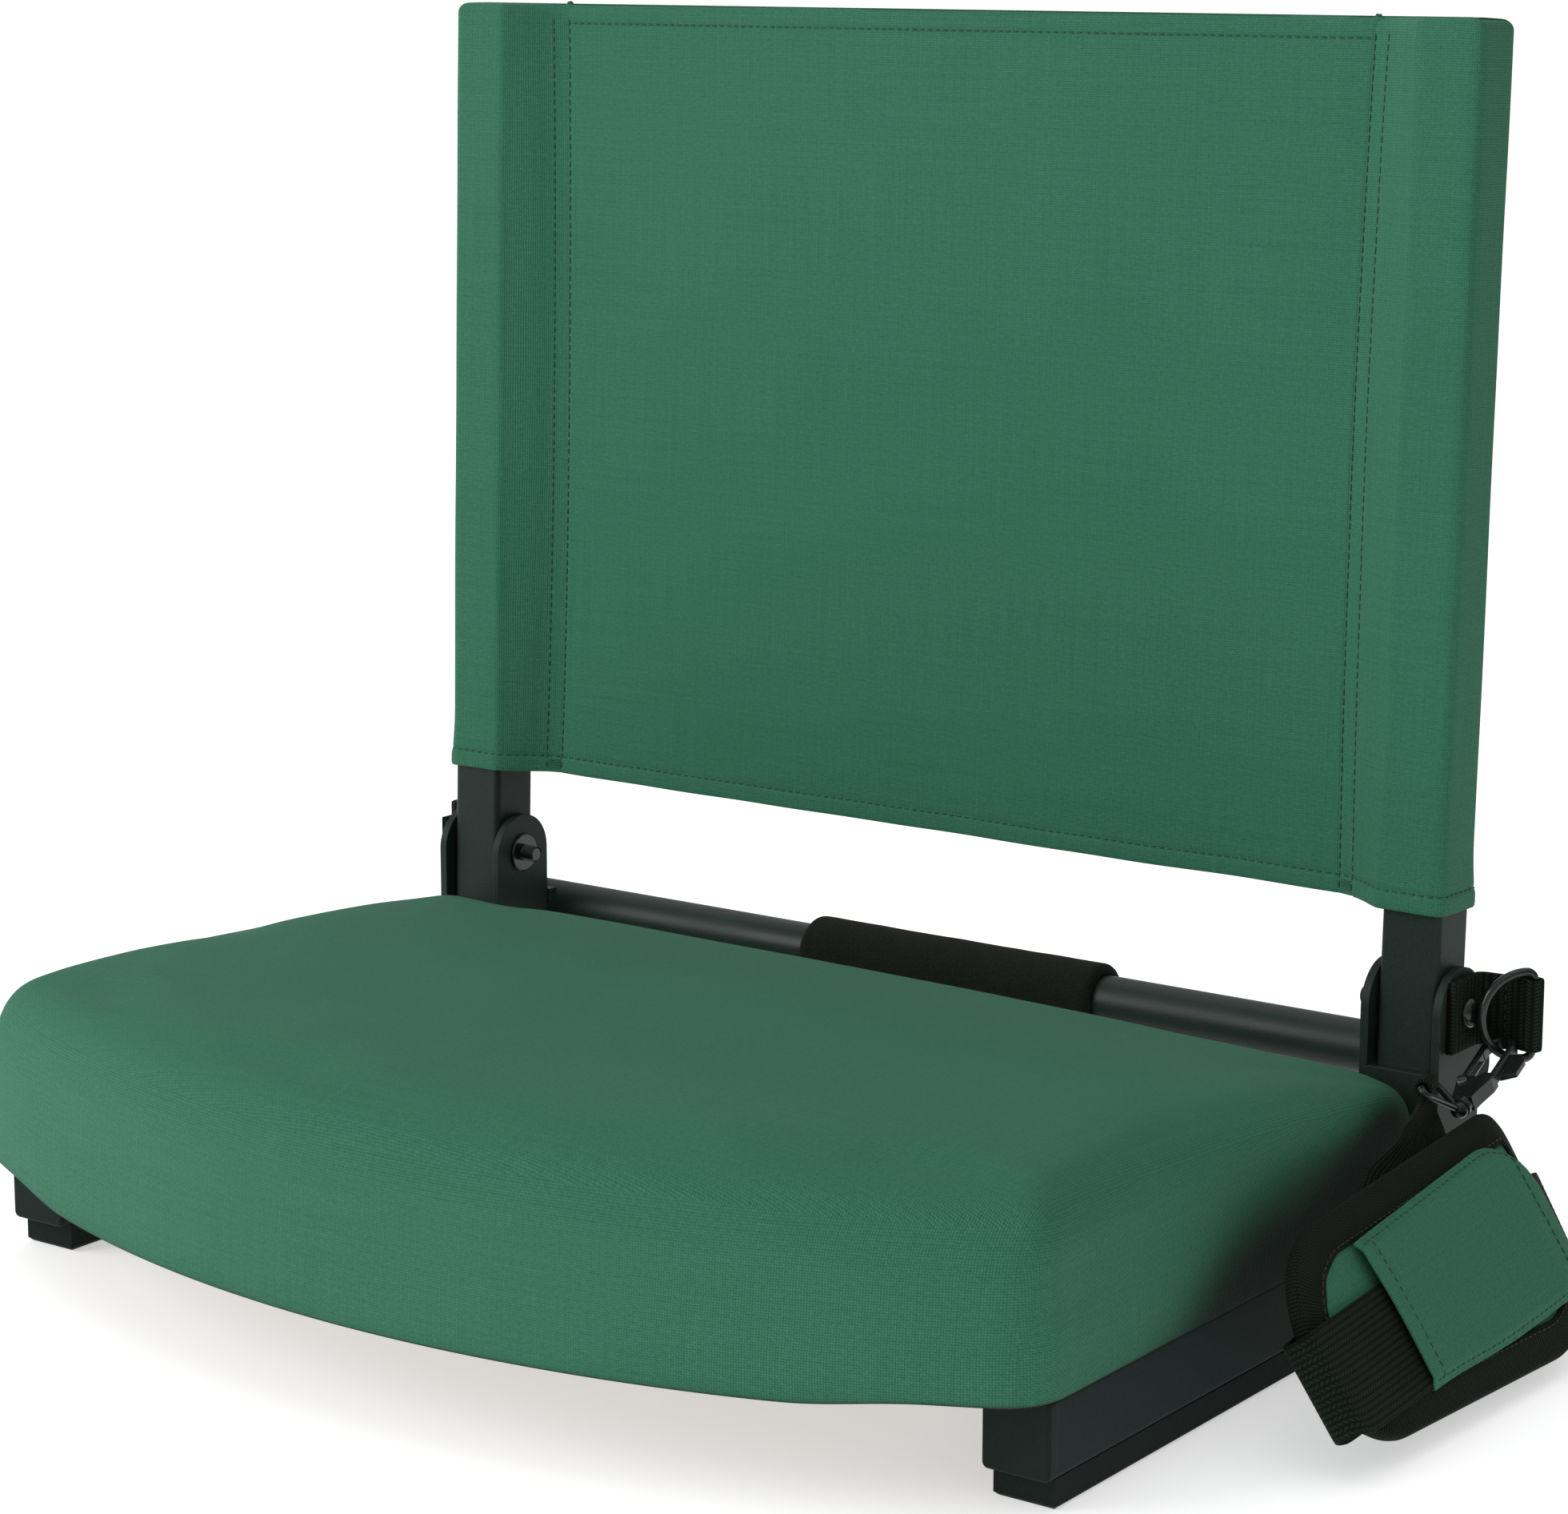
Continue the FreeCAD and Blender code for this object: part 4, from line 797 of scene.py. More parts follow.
def sling_surface(s, z):
    """outer face of the sling: distance along its section and height along the uprights -> point, with the cloth's own shape"""
    s, z = np.broadcast_arrays(np.asarray(s, float), np.asarray(z, float))
    q, n = SEC.at(s), SEC.out(s)
    x, y = q[..., 0], q[..., 1]
    t = (z - SL_Z0) / (SL_Z1 - SL_Z0)
    ax = np.abs(x)
    panel = sstep(192, 172, ax)
    # the sleeves pull on the panel: seams bow inwards, the panel hollows a little
    bow = 2.2 * np.sin(PI * np.clip(t, 0, 1)) ** 0.8
    dx = -np.sign(x) * bow * sstep(120, 172, ax) * sstep(193, 182, ax)
    dy = panel * (1.1 * np.sin(PI * np.clip(t, 0, 1)) * np.cos(x / 175.0 * PI / 2) ** 1)
    # two stitched lines each side sit in the cloth
    seamx = ax - SEAM
    off = -0.42 * np.exp(-((seamx - 3.0) / 0.9) ** 2) - 0.42 * np.exp(-((seamx + 3.0) / 0.9) ** 2) + 0.22 * np.exp(-(seamx / 1.6) ** 2)
    off = off - 0.18 * np.exp(-((seamx + 6.5) / 2.2) ** 2)
    # hems: a fold below, one above between the seams
    off = off + 0.38 * sstep(41.2, 39.9, z) - 0.40 * np.exp(-((z - 40.4) / 0.8) ** 2)
    mid = sstep(176, 170, ax)
    off = off + mid * (0.30 * sstep(322.4, 323.7, z) - 0.38 * np.exp(-((z - 323.2) / 0.8) ** 2))
    # the sleeves' mouths stand a little open
    sleeve = sstep(182, 192, ax)
    off = off + sleeve * (0.9 * sstep(58, 36, z) ** 1.5)
    # pulled ripples
    w = np.stack([x, y * 3, z], -1)
    rip = gnoise(w * np.array([1, 1, 0.35]), 34.0, (1.1, 0.2, 4.0)).reshape(s.shape)
    rip2 = gnoise(w * np.array([1.0, 1, 1.0]), 70.0, (8.1, 3.2, 1.0)).reshape(s.shape)
    near_seam = np.exp(-((seamx + 2.0) / 14.0) ** 2)
    off = off + 0.30 * rip * (0.35 + near_seam) + 0.35 * rip2
    pucker = np.sin(z / 3.2 * PI) ** 2
    off = off - 0.10 * pucker * (np.exp(-((seamx - 3.0) / 2.0) ** 2) + np.exp(-((seamx + 3.0) / 2.0) ** 2))
    edge = sstep(35.0, 34.0, z)
    off = off - 0.30 * edge
    # closed, rounded top
    f = np.clip((z - (SL_Z1 - 3.2)) / 3.2, 0, 1)
    inset = 3.2 * (1 - np.sqrt(np.maximum(1 - f * f, 0)))
    lim = np.clip(0.9 * (1.05 + 0.586 * np.maximum(ax - 175.0, 0)), 0.9, 3.2)
    off = off - np.minimum(inset, lim)
    side = sstep(212, 217, ax) * sstep(11, 6, np.abs(y))
    zz = z
    px = x + dx + n[..., 0] * off
    py = y + dy + n[..., 1] * off
    # the wavering of the hem line
    zz = zz + sstep(60, 36, z) * 0.45 * gnoise(w * np.array([1, 1, 0]), 40.0, (2.2, 9.0, 0.0)).reshape(s.shape)
    # upper corners rounded, hem corners drawn up at the seams
    crn = np.clip((ax - 209.5) / 8.5, 0, 1)
    zz = zz - sstep(318, SL_Z1, z) * 1.1 * (1 - np.sqrt(np.maximum(1 - crn ** 2, 0)))
    return px, py, zz


def back_sling():
    # columns: fine by the seams and the sleeve's corners
    dens = []
    s = 0.0
    while s < SEC.len - 0.2:
        dens.append(s)
        x, y = SEC.at(s)
        ax = abs(x)
        if 167 < ax < 181.5:
            s += 0.62
        elif ax > 190:
            s += 1.0 if (abs(abs(y) - 12) < 3 and (ax > 214 or ax < 197)) else 2.6
        else:
            s += 5.0
    cols = np.array(dens)
    z = np.concatenate([np.arange(34.0, 35.01, 0.34), np.arange(35.6, 46, 0.65), np.arange(47.5, 318, 4.4),
                        np.arange(319, 327.0, 0.75), SL_Z1 - 3.2 + 3.2 * np.sin(np.radians([0, 18, 36, 54, 72, 90]))])
    Z, S = np.meshgrid(z, cols, indexing="ij")
    X, Y, ZZ = sling_surface(S, Z)
    L = [np.stack([X, Y, ZZ], -1)]
    # the top folds shut over the tube's cap
    tx, ty, tz = L[0][-1, :, 0], L[0][-1, :, 1], L[0][-1, :, 2]
    for g, lift in ((0.72, 0.10), (0.4, 0.2), (0.0, 0.2)):
        pan = sstep(192, 176, np.abs(tx))
        yc = 1.8 * pan + 0.2 * (1 - pan) + 1.1 * 0
        x2 = np.sign(tx) * np.minimum(np.abs(tx), 200 + (np.abs(tx).max() - 200) * (0.4 + 0.6 * g))
        L.append(np.stack([x2, yc + (ty - yc) * g, tz + lift], -1)[None])
    loc = np.concatenate(L)
    P = leaned(loc[..., 0], loc[..., 1], loc[..., 2])
    cu = np.append(cols, SEC.len) * 0.001
    vv = np.append(z, [z[-1] + 4, z[-1] + 8, z[-1] + 12]) * 0.001
    U = np.tile(cu, (len(vv), 1))
    Vv = np.tile(vv[:, None], (1, len(cu)))
    faces, uvs = sheet_grid(P, True, U, Vv)
    ob = build("back_sling_cloth", P.reshape(-1, 3), faces, uvs)
    bm = bmesh.new()
    bm.from_mesh(ob.data)
    top = [v for v in bm.verts if v.index >= (len(vv) - 1) * len(cols)]
    bmesh.ops.remove_doubles(bm, verts=top, dist=0.0012)
    bmesh.ops.recalc_face_normals(bm, faces=bm.faces)
    bm.to_mesh(ob.data)
    bm.free()
    me = ob.data
    # out means away from the sleeve's inside: test one face on the outer right side
    f = max(me.polygons, key=lambda p: p.center.x)
    if f.normal.x < 0:
        me.flip_normals()
    modifier(ob, "SOLIDIFY", thickness=0.0010, offset=-1.0, use_rim=True)
    apply_all(ob)
    ob.data.polygons.foreach_set("use_smooth", [True] * len(ob.data.polygons))
    piece(ob, M_GREEN, "backrest", "green_fabric", "back_sling")
    return ob


SLING = back_sling()


def sec_at(x, front):
    """distance along the section of a place on the front or back"""
    k = np.where((SEC.p[:-1, 1] < 1.8) == front)[0]
    return float(SEC.s[k[np.argmin(np.abs(SEC.p[k, 0] - x))]])


def on_sling(s, z):
    h = 0.15
    s, z = np.broadcast_arrays(np.asarray(s, float), np.asarray(z, float))
    p = [np.stack(sling_surface(s + a, z + b), -1) for a, b in ((0, 0), (h, 0), (-h, 0), (0, h), (0, -h))]
    n = unit(np.cross(p[1] - p[2], p[3] - p[4]))
    flat = np.zeros_like(n)
    flat[..., :2] = SEC.out(s)
    n = np.where((n * flat).sum(-1, keepdims=True) < 0, -n, n)
    w = leaned(p[0][..., 0], p[0][..., 1], p[0][..., 2])
    nn = leaned(n[..., 0], n[..., 1], n[..., 2]) - leaned(np.zeros(n.shape[:-1]), np.zeros(n.shape[:-1]), np.zeros(n.shape[:-1]))
    return w, unit(nn)


def sling_stitching():
    runs = []
    for front in (True, False):
        for sx in (-1, 1):
            for dx in (-3.0, 3.0):
                z = np.arange(35.5, 325.6, 1.6)
                runs.append(on_sling(sec_at(sx * (SEAM + dx), front), z))
        # top hem between the seams
        x = np.arange(-SEAM + 4, SEAM - 3.5, 2.0)
        runs.append(on_sling(np.array([sec_at(q, front) for q in x]), 323.2))
    # bottom hem all round
    s = np.arange(0, SEC.len, 1.6)
    runs.append(on_sling(s, 40.4))
    ob = stitches("sling_stitching", runs, r=0.27, dash=2.5, pitch=3.3)
    piece(ob, M_THREAD, "backrest", "green_fabric")
    # bar-tacks where the seams meet the hems
    runs = []
    for front in (True, False):
        for sx in (-1, 1):
            for k in range(4):
                zz = 35.9 + k * 1.0
                x = np.linspace(SEAM - 3.4, SEAM + 3.4, 5) * sx
                runs.append(on_sling(np.array([sec_at(q, front) for q in x]), np.full(5, zz)))
    tack = stitches("sling_bar_tacks", runs, r=0.2, dash=6.0, pitch=6.8, rise=0.12)
    piece(tack, M_THREAD, "backrest", "green_fabric")
    return ob, tack


SL_STITCH, SL_TACKS = sling_stitching()


# ------------------------------------------------------------------ foam grip
def foam_grip():
    R, ri, half, rc = 13.4, 9.65, 65.0, 3.0
    prof = [(-half + 1.2, ri), (-half + 0.2, ri + 0.5)]
    prof += [(-half + rc - rc * math.cos(f), R - rc + rc * math.sin(f)) for f in np.radians([0, 18, 36, 54, 72, 90])]
    prof += [(x, R) for x in np.linspace(-half + rc, half - rc, 60)[1:-1]]
    prof += [(half - rc + rc * math.sin(f), R - rc + rc * math.cos(f)) for f in np.radians([0, 18, 36, 54, 72, 90])]
    prof += [(half - 0.2, ri + 0.5), (half - 1.2, ri)]
    nc = 72
    a = np.linspace(0, 2 * PI, nc, endpoint=False)
    P = np.zeros((len(prof) + 1, nc, 3))
    for i, (x, r) in enumerate(prof + [prof[0]]):
        P[i, :, 0], P[i, :, 1], P[i, :, 2] = x, 39.0 + r * np.cos(a), 74.0 + r * np.sin(a)
    Q = P[:-1].reshape(-1, 3)
    rad = np.c_[np.zeros(len(Q)), Q[:, 1] - 39.0, Q[:, 2] - 74.0]
    amp = (np.linalg.norm(rad, axis=1) > 11)
    Q = Q + unit(rad) * (amp * (0.16 * gnoise(Q, 9.0) + 0.22 * gnoise(Q, 30.0, (4, 2, 1))))[:, None]
    n = len(prof)
    faces = [[i * nc + j, i * nc + (j + 1) % nc, ((i + 1) % n) * nc + (j + 1) % nc, ((i + 1) % n) * nc + j] for i in range(n) for j in range(nc)]
    ob = build("foam_grip_sleeve", Q, faces)
    outward(ob)
    piece(ob, M_FOAM, "seat_base", "grip_foam", "foam_grip")
    return ob


foam_grip()


# ------------------------------------------------------------------ webbing strips
def tape(name, C, W, T, width, thick, material, body, slot, nodes, ribs=0.0, rib_pitch=2.1, us=None, n_across=None, edge=0.55):
    """flat tape: centres C, unit directions across W and through T per row, widths and thickness per row, in mm"""
    nr = len(C)
    width = np.broadcast_to(np.asarray(width, float), (nr,))
    thick = np.broadcast_to(np.asarray(thick, float), (nr,))
    na = n_across or max(8, int(width.max() / (rib_pitch / 5 if ribs else 2.0)))
    x = np.linspace(-1, 1, na + 1)
    rows_ = []
    for i in range(nr):
        hw, ht = width[i] / 2, thick[i] / 2
        px = x * (hw - ht * edge)
        bump_ = ribs * (np.abs(np.sin(PI * (px + hw) / rib_pitch)) - 0.6) if ribs else 0 * px
        soft = sstep(1.0, 0.9, np.abs(x))
        up = ht * (0.86 + 0.14 * soft) + bump_ * soft
        arc = np.radians([50, 20, -20, -50])
        right = np.stack([hw - ht * edge + ht * edge * np.cos(arc), ht * 0.86 * np.sin(arc) / math.sin(math.radians(62))], 1)
        sec = np.concatenate([np.stack([px, up], 1), right, np.stack([px[::-1], -up[::-1]], 1), np.stack([-right[::-1, 0], right[::-1, 1]], 1)])
        rows_.append(C[i] + W[i] * sec[:, :1] + T[i] * sec[:, 1:])
    P = np.array(rows_)
    hw = float(width.max()) / 2
    across = np.concatenate([x * hw, np.full(4, hw), x[::-1] * hw, np.full(4, -hw)]) * 0.001
    across = np.append(across, across[0])
    s = us if us is not None else np.concatenate([[0], np.cumsum(np.linalg.norm(np.diff(C, axis=0), axis=1))])
    U = np.tile((np.asarray(s) * 0.001)[:, None], (1, len(across)))
    Vv = np.tile(across + 0.1, (nr, 1))
    ob = capped_tube(name, P, U, Vv)
    piece(ob, material, body, slot, *nodes)
    return ob


def plan_tab(name, pts, bar, side, nodes):
    """doubled webbing on edge: along the plate, out, round the ring's bar and back"""
    p = np.array(pts, float)
    path = [p[0]]
    for i in range(1, len(p) - 1):
        path += list(round_corner(p[i - 1], p[i], p[i + 1], 3.4))
    path.append(p[-1])
    path = np.array(path)
    s = np.concatenate([[0], np.cumsum(np.linalg.norm(np.diff(path, axis=0), axis=1))])
    at = np.linspace(0, s[-1], int(s[-1] / 0.9))
    mid = np.stack([np.interp(at, s, path[:, k]) for k in range(2)], 1)
    d = unit(np.gradient(mid, axis=0))
    nrm = np.stack([-d[:, 1], d[:, 0]], 1)
    gap = 0.70 + 0 * at
    dist = np.linalg.norm(mid - np.array(bar), axis=1)
    gap = gap + 1.75 * sstep(7.5, 2.2, dist)
    la, lb = mid + nrm * gap[:, None], mid - nrm * gap[:, None]
    c = np.array(bar, float)
    fa, fb = math.atan2(*(la[-1] - c)[::-1]), math.atan2(*(lb[-1] - c)[::-1])
    ra, rb = np.linalg.norm(la[-1] - c), np.linalg.norm(lb[-1] - c)
    heading = math.atan2(*(d[-1])[::-1])

    def ang(a):
        return (a - heading) % (2 * PI)
    f0, f1 = ang(fa), ang(fb) - 2 * PI
    f = np.linspace(f0, f1, 22)[1:-1]
    rr = np.interp(np.linspace(0, 1, 22)[1:-1], [0, 0.2, 0.8, 1], [ra, 2.75, 2.75, rb])
    turn = c + np.stack([np.cos(f + heading), np.sin(f + heading)], 1) * rr[:, None]
    C2 = np.concatenate([la, turn, lb[::-1]])
    z = 99.5
    C = np.c_[C2, np.full(len(C2), z)]
    dd = unit(np.gradient(C, axis=0))
    W = np.tile([0.0, 0, 1.0], (len(C), 1))
    T = unit(np.cross(dd, W))
    wob = 0.18 * gnoise(C, 9.0, (side, 0, 0))
    C[:, 2] += wob
    ob = tape(name, C, W, T, 25.0, 1.3, M_TABWEB, "seat_base", "black_webbing", nodes, n_across=26)
    # stitching near the ring and at the plate's end
    runs = []
    for a in (0.80, 0.60):
        k = int(len(mid) * a)
        for q, sg in ((la, 1), (lb, -1)):
            zz = np.arange(89.5, 110, 1.0)
            n = np.array([nrm[k, 0] * sg, nrm[k, 1] * sg, 0])
            runs.append((np.array([[q[k, 0], q[k, 1], t] for t in zz]) + n * 0.62, np.tile(n, (len(zz), 1))))
    st = stitches(name + "_stitches", runs, r=0.26, dash=2.2, pitch=3.0)
    piece(st, M_THREADK, "seat_base", "black_webbing")
    return ob


plan_tab("web_tab_right_weave", [(221.9, 4.0), (221.9, 24.5), (239.4, 26.5)], (241.5, 26.5), 1.0, ["web_tab_right"])
plan_tab("web_tab_left_weave", [(-221.9, 4.0), (-221.9, 25.0), (-239.4, 28.5), (-237.0, 41.9)], (-237.0, 44.0), 5.0, ["web_tab_left"])

# ------------------------------------------------------------------ shoulder pad
PAD_FACE, PAD_RISE = math.radians(33.0), math.radians(4.0)
E1 = np.array([0.0, math.cos(PAD_RISE), math.sin(PAD_RISE)])
PN = np.array([math.cos(PAD_FACE), -math.sin(PAD_FACE) * math.sin(PAD_RISE), math.sin(PAD_FACE) * math.cos(PAD_RISE)])
E2 = np.cross(PN, E1)
PC, BEND, RB = 248.3, -24.0, 60.0
SKEW = 0.14                        # the line of the bend leans back towards its top


def on_pad(a, b, h):
    """pad's own places: along it (laid flat), across, above its outer face -> measuring frame"""
    a, b, h = np.broadcast_arrays(np.asarray(a, float), np.asarray(b, float), np.asarray(h, float))
    bend = BEND + SKEW * (b + 108.0)
    f = np.maximum(a - bend, 0) / RB
    aa = np.where(f > 0, bend + (RB + h) * np.sin(f), a)
    hh = np.where(f > 0, -RB + (RB + h) * np.cos(f), h)
    return PN * (PC + hh)[..., None] + E1 * aa[..., None] + E2 * b[..., None]


PA0, PA1 = -158.0, BEND + RB * math.radians(26.0)
PAD_CORNERS = [((PA0, -69.0), 37.0), ((PA1, -68.6), 15.0), ((PA1, -152.5), 41.0), ((PA0, -136.5), 28.0)]


def pad_loop(d):
    """the pad's outline laid flat, set in by d"""
    n = len(PAD_CORNERS)
    pts = [np.array(c, float) for c, _ in PAD_CORNERS]
    inn = []
    for i in range(n):
        p, q, r = pts[i - 1], pts[i], pts[(i + 1) % n]
        u, w = unit(q - p), unit(r - q)
        nu_, nw = np.array([u[1], -u[0]]), np.array([w[1], -w[0]])    # right of the way round, which is inside
        t = np.linalg.solve(np.stack([u, -w], 1), (q + nw * d) - (q + nu_ * d))
        inn.append(q + nu_ * d + u * t[0])
    out = []
    for i in range(n):
        arc = round_corner(inn[i - 1], inn[i], inn[(i + 1) % n], max(PAD_CORNERS[i][1] - d, 1.5))
        if out:
            p, q = out[-1][-1], arc[0]
            k = max(2, int(np.linalg.norm(q - p) / 0.25))
            out.append(p + (q - p) * np.linspace(0, 1, k)[1:-1, None])
        out.append(arc)
    p, q = out[-1][-1], out[0][0]
    k = max(3, int(np.linalg.norm(q - p) / 0.25))
    out.append(p + (q - p) * np.linspace(0, 1, k)[1:-1, None])
    return Loop(np.concatenate(out))


def pad_h(d):
    """half-thickness profile towards the edge: outer and inner face heights at distance d from the rim"""
    t = sstep(0, 15, d)
    return -1.8 * (1 - t), -7.0 + 1.5 * (1 - t)


def shoulder_pad():
    lo = pad_loop(3.0)
    # corners: upper right, lower right, lower left, upper left
    marks = [lo.near((PA1 - 5, -74)), lo.near((PA1 - 15, -137)), lo.near((PA0 + 10, -127)), lo.near((PA0 + 12, -81))]
    cs = [(-20, -88), (-28, -124), (-128, -118), (-128, -90)]
    nv, nu = 14, 40
    G, border, t = patch(cs, lo, marks, nv, nu)
    A = np.array([G[i, j] for i, j in border])
    B = lo.at(t)
    fr = [0.25, 0.5, 0.72, 0.86, 0.95, 1.0]
    loops = [(A + (B - A) * f) for f in fr]
    full = pad_loop(0.0)

    def dist(p):
        k = full.p[::6]
        return np.array([np.min(np.linalg.norm(k - q, axis=1)) for q in p])

    def face(p, outer):
        h1, h0 = pad_h(dist(p))
        soft = 0.18 * gnoise(np.c_[p, np.zeros(len(p))], 16.0, (2, 3, 0))
        return np.c_[p, (h1 - 0.05 + np.minimum(soft, 0)) if outer else (h0 + 0.05 + np.maximum(soft, 0))]
    verts, faces = [], []
    grid = G.reshape(-1, 2)
    ng, nb = len(grid), len(border)
    bi = [i * (nu + 1) + j for i, j in border]
    verts.append(face(grid, True))
    for L in loops:
        verts.append(face(L, True))
    n1 = ng + nb * len(loops)
    verts.append(face(grid, False))
    for L in loops:
        verts.append(face(L, False))
    for base, rev in ((0, False), (n1, True)):
        fs = [[base + i * (nu + 1) + j, base + i * (nu + 1) + j + 1, base + (i + 1) * (nu + 1) + j + 1, base + (i + 1) * (nu + 1) + j] for i in range(nv) for j in range(nu)]
        prev = [base + k for k in bi]
        for k in range(len(loops)):
            cur = [base + ng + k * nb + i for i in range(nb)]
            fs += [[prev[i], cur[i], cur[(i + 1) % nb], prev[(i + 1) % nb]] for i in range(nb)]
            prev = cur
        faces += [f[::-1] for f in fs] if rev else fs
        if not rev:
            e0 = prev
        else:
            faces += [[e0[i], prev[i], prev[(i + 1) % nb], e0[(i + 1) % nb]] for i in range(nb)]
    V_ = np.concatenate(verts)
    uv = V_[:, :2] * 0.001
    uvs = [tuple(uv[i]) for f in faces for i in f]
    ob = build("shoulder_pad_body", on_pad(V_[:, 0], V_[:, 1], V_[:, 2]), faces, uvs)
    outward(ob)
    modifier(ob, "SUBSURF", levels=1, render_levels=1)
    apply_all(ob)
    piece(ob, M_GREEN, "carry_strap", "green_fabric", "shoulder_pad")
    return ob


shoulder_pad()


def pad_binding():
    lo = pad_loop(0.0)
    n = 260
    s = np.linspace(0, lo.len, n, endpoint=False)
    B, N = lo.at(s), lo.out(s, 1.2)
    wv = gnoise(np.c_[B, np.zeros(n)], 13.0, (1, 1, 0)) * 0.45
    wv2 = gnoise(np.c_[B, np.zeros(n)], 5.0, (7, 1, 0)) * 0.18
    width = 12.0 + wv + wv2
    # outer tape line, then back along its inside
    k = 15
    fr = np.linspace(1, 0, 8)
    rows_ = []
    lift = 0.75
    for i in range(n):
        w = width[i]
        out_, inn = [], []
        for f in fr:
            d = 1.4 + (w - 1.4) * f
            h1, h0 = pad_h(d)
            out_.append((d, h1 + lift * (0.72 + 0.28 * math.sin(PI * min(1, (1 - f) * 3) / 2)) + 0.12 * wv2[i]))
            inn.append((d, h1 + 0.10))
        h1, h0 = pad_h(1.4)
        hm, hr = (h1 + h0) / 2, (h1 - h0) / 2 + lift
        for f in np.radians([65, 40, 15, -15, -40, -65]):
            out_.append((1.4 - 1.5 * math.cos(f), hm + hr * math.sin(f)))
            inn.append((1.5 - 0.8 * math.cos(f), hm + (hr - lift) * math.sin(f)))
        for f in fr[::-1]:
            d = 1.4 + (w - 1.4) * f
            h1, h0 = pad_h(d)
            out_.append((d, h0 - lift * (0.72 + 0.28 * math.sin(PI * min(1, (1 - f) * 3) / 2))))
            inn.append((d, h0 - 0.10))
        sec = np.array(out_ + inn[::-1])
        q = B[i] - N[i] * sec[:, :1]
        rows_.append(on_pad(q[:, 0], q[:, 1], sec[:, 1]))
    P = np.array(rows_)
    nc = P.shape[1]
    along = np.append(s, lo.len) * 0.001
    L = rows_[0]
    acr = np.concatenate([[0], np.cumsum(np.linalg.norm(np.diff(L, axis=0), axis=1))]) * 0.001
    faces, uvs = [], []
    for i in range(n):
        i2 = (i + 1) % n
        for j in range(nc):
            j2 = (j + 1) % nc
            faces.append([i * nc + j, i * nc + j2, i2 * nc + j2, i2 * nc + j])
            aj2 = acr[j2] if j2 else acr[-1] + 0.0008
            uvs += [(along[i], acr[j]), (along[i], aj2), (along[i + 1], aj2), (along[i + 1], acr[j])]
    ob = build("pad_binding_tape", P.reshape(-1, 3), faces, uvs)
    outward(ob)
    piece(ob, M_BIND, "carry_strap", "black_webbing", "pad_binding")
    # one row of stitches near its inner edge, both faces
    runs = []
    for outer in (True, False):
        d = 10.3
        q = B - N * d
        h1, h0 = pad_h(d)
        h = h1 + lift + 0.02 if outer else h0 - lift - 0.02
        p = on_pad(q[:, 0], q[:, 1], np.full(n, h))
        p2 = on_pad(q[:, 0], q[:, 1], np.full(n, h + (1 if outer else -1)))
        p, p2 = np.concatenate([p, p[:1]]), np.concatenate([p2, p2[:1]])
        runs.append((p, unit(p2 - p)))
    st = stitches("pad_binding_stitches", runs, r=0.24, dash=2.2, pitch=3.0)
    piece(st, M_THREADK, "carry_strap", "black_webbing")


pad_binding()


# ------------------------------------------------------------------ flap that the strap runs through
FA0, FA1 = -115.6, BEND + RB * math.radians(15.5)


def flap_low(a):
    a = np.asarray(a, float)
    t = 0.97 * np.clip((a - FA1 + 13.0) / 13.0, 0, 1)
    return -132.0 - 2.6 * sstep(FA0, FA0 + 60, a) + 12.0 * (1 - np.sqrt(1 - t * t))


def flap_top(a):
    a = np.asarray(a, float)
    t = 0.97 * np.clip((a - FA1 + 24.0) / 24.0, 0, 1)          # the rear upper corner is rounded
    return -80.6 + 3.0 * np.clip((a - FA0) / 85.0, 0, 1) - 22.0 * (1 - np.sqrt(1 - t * t))


def flap_h(a, b):
    """height of the flap's underside above the pad"""
    lo, hi = flap_low(a), flap_top(a)
    e = np.minimum(b - lo, hi - b)
    h = 0.55 + 1.8 * sstep(0.2, 4.0, e)
    mouth = sstep(FA0 + 22, FA0, a)
    c = np.clip((b - (lo + hi) / 2) / 27.0, -1, 1)
    h = h + mouth * 1.1 * (1 - c ** 2)
    endr = sstep(FA1 - 9, FA1, a)
    return h + endr * 0.35


def flap_hems(a):
    """folded hems: mouth and rear end are double, with a stitched groove"""
    h = 0.0
    for pos, sg in ((FA0 + 7.0, 1), (FA1 - 7.0, -1)):
        t = (a - pos) * sg
        h = h + 0.35 * sstep(0.8, -0.4, t) - 0.28 * np.exp(-(t / 0.7) ** 2)
    return h


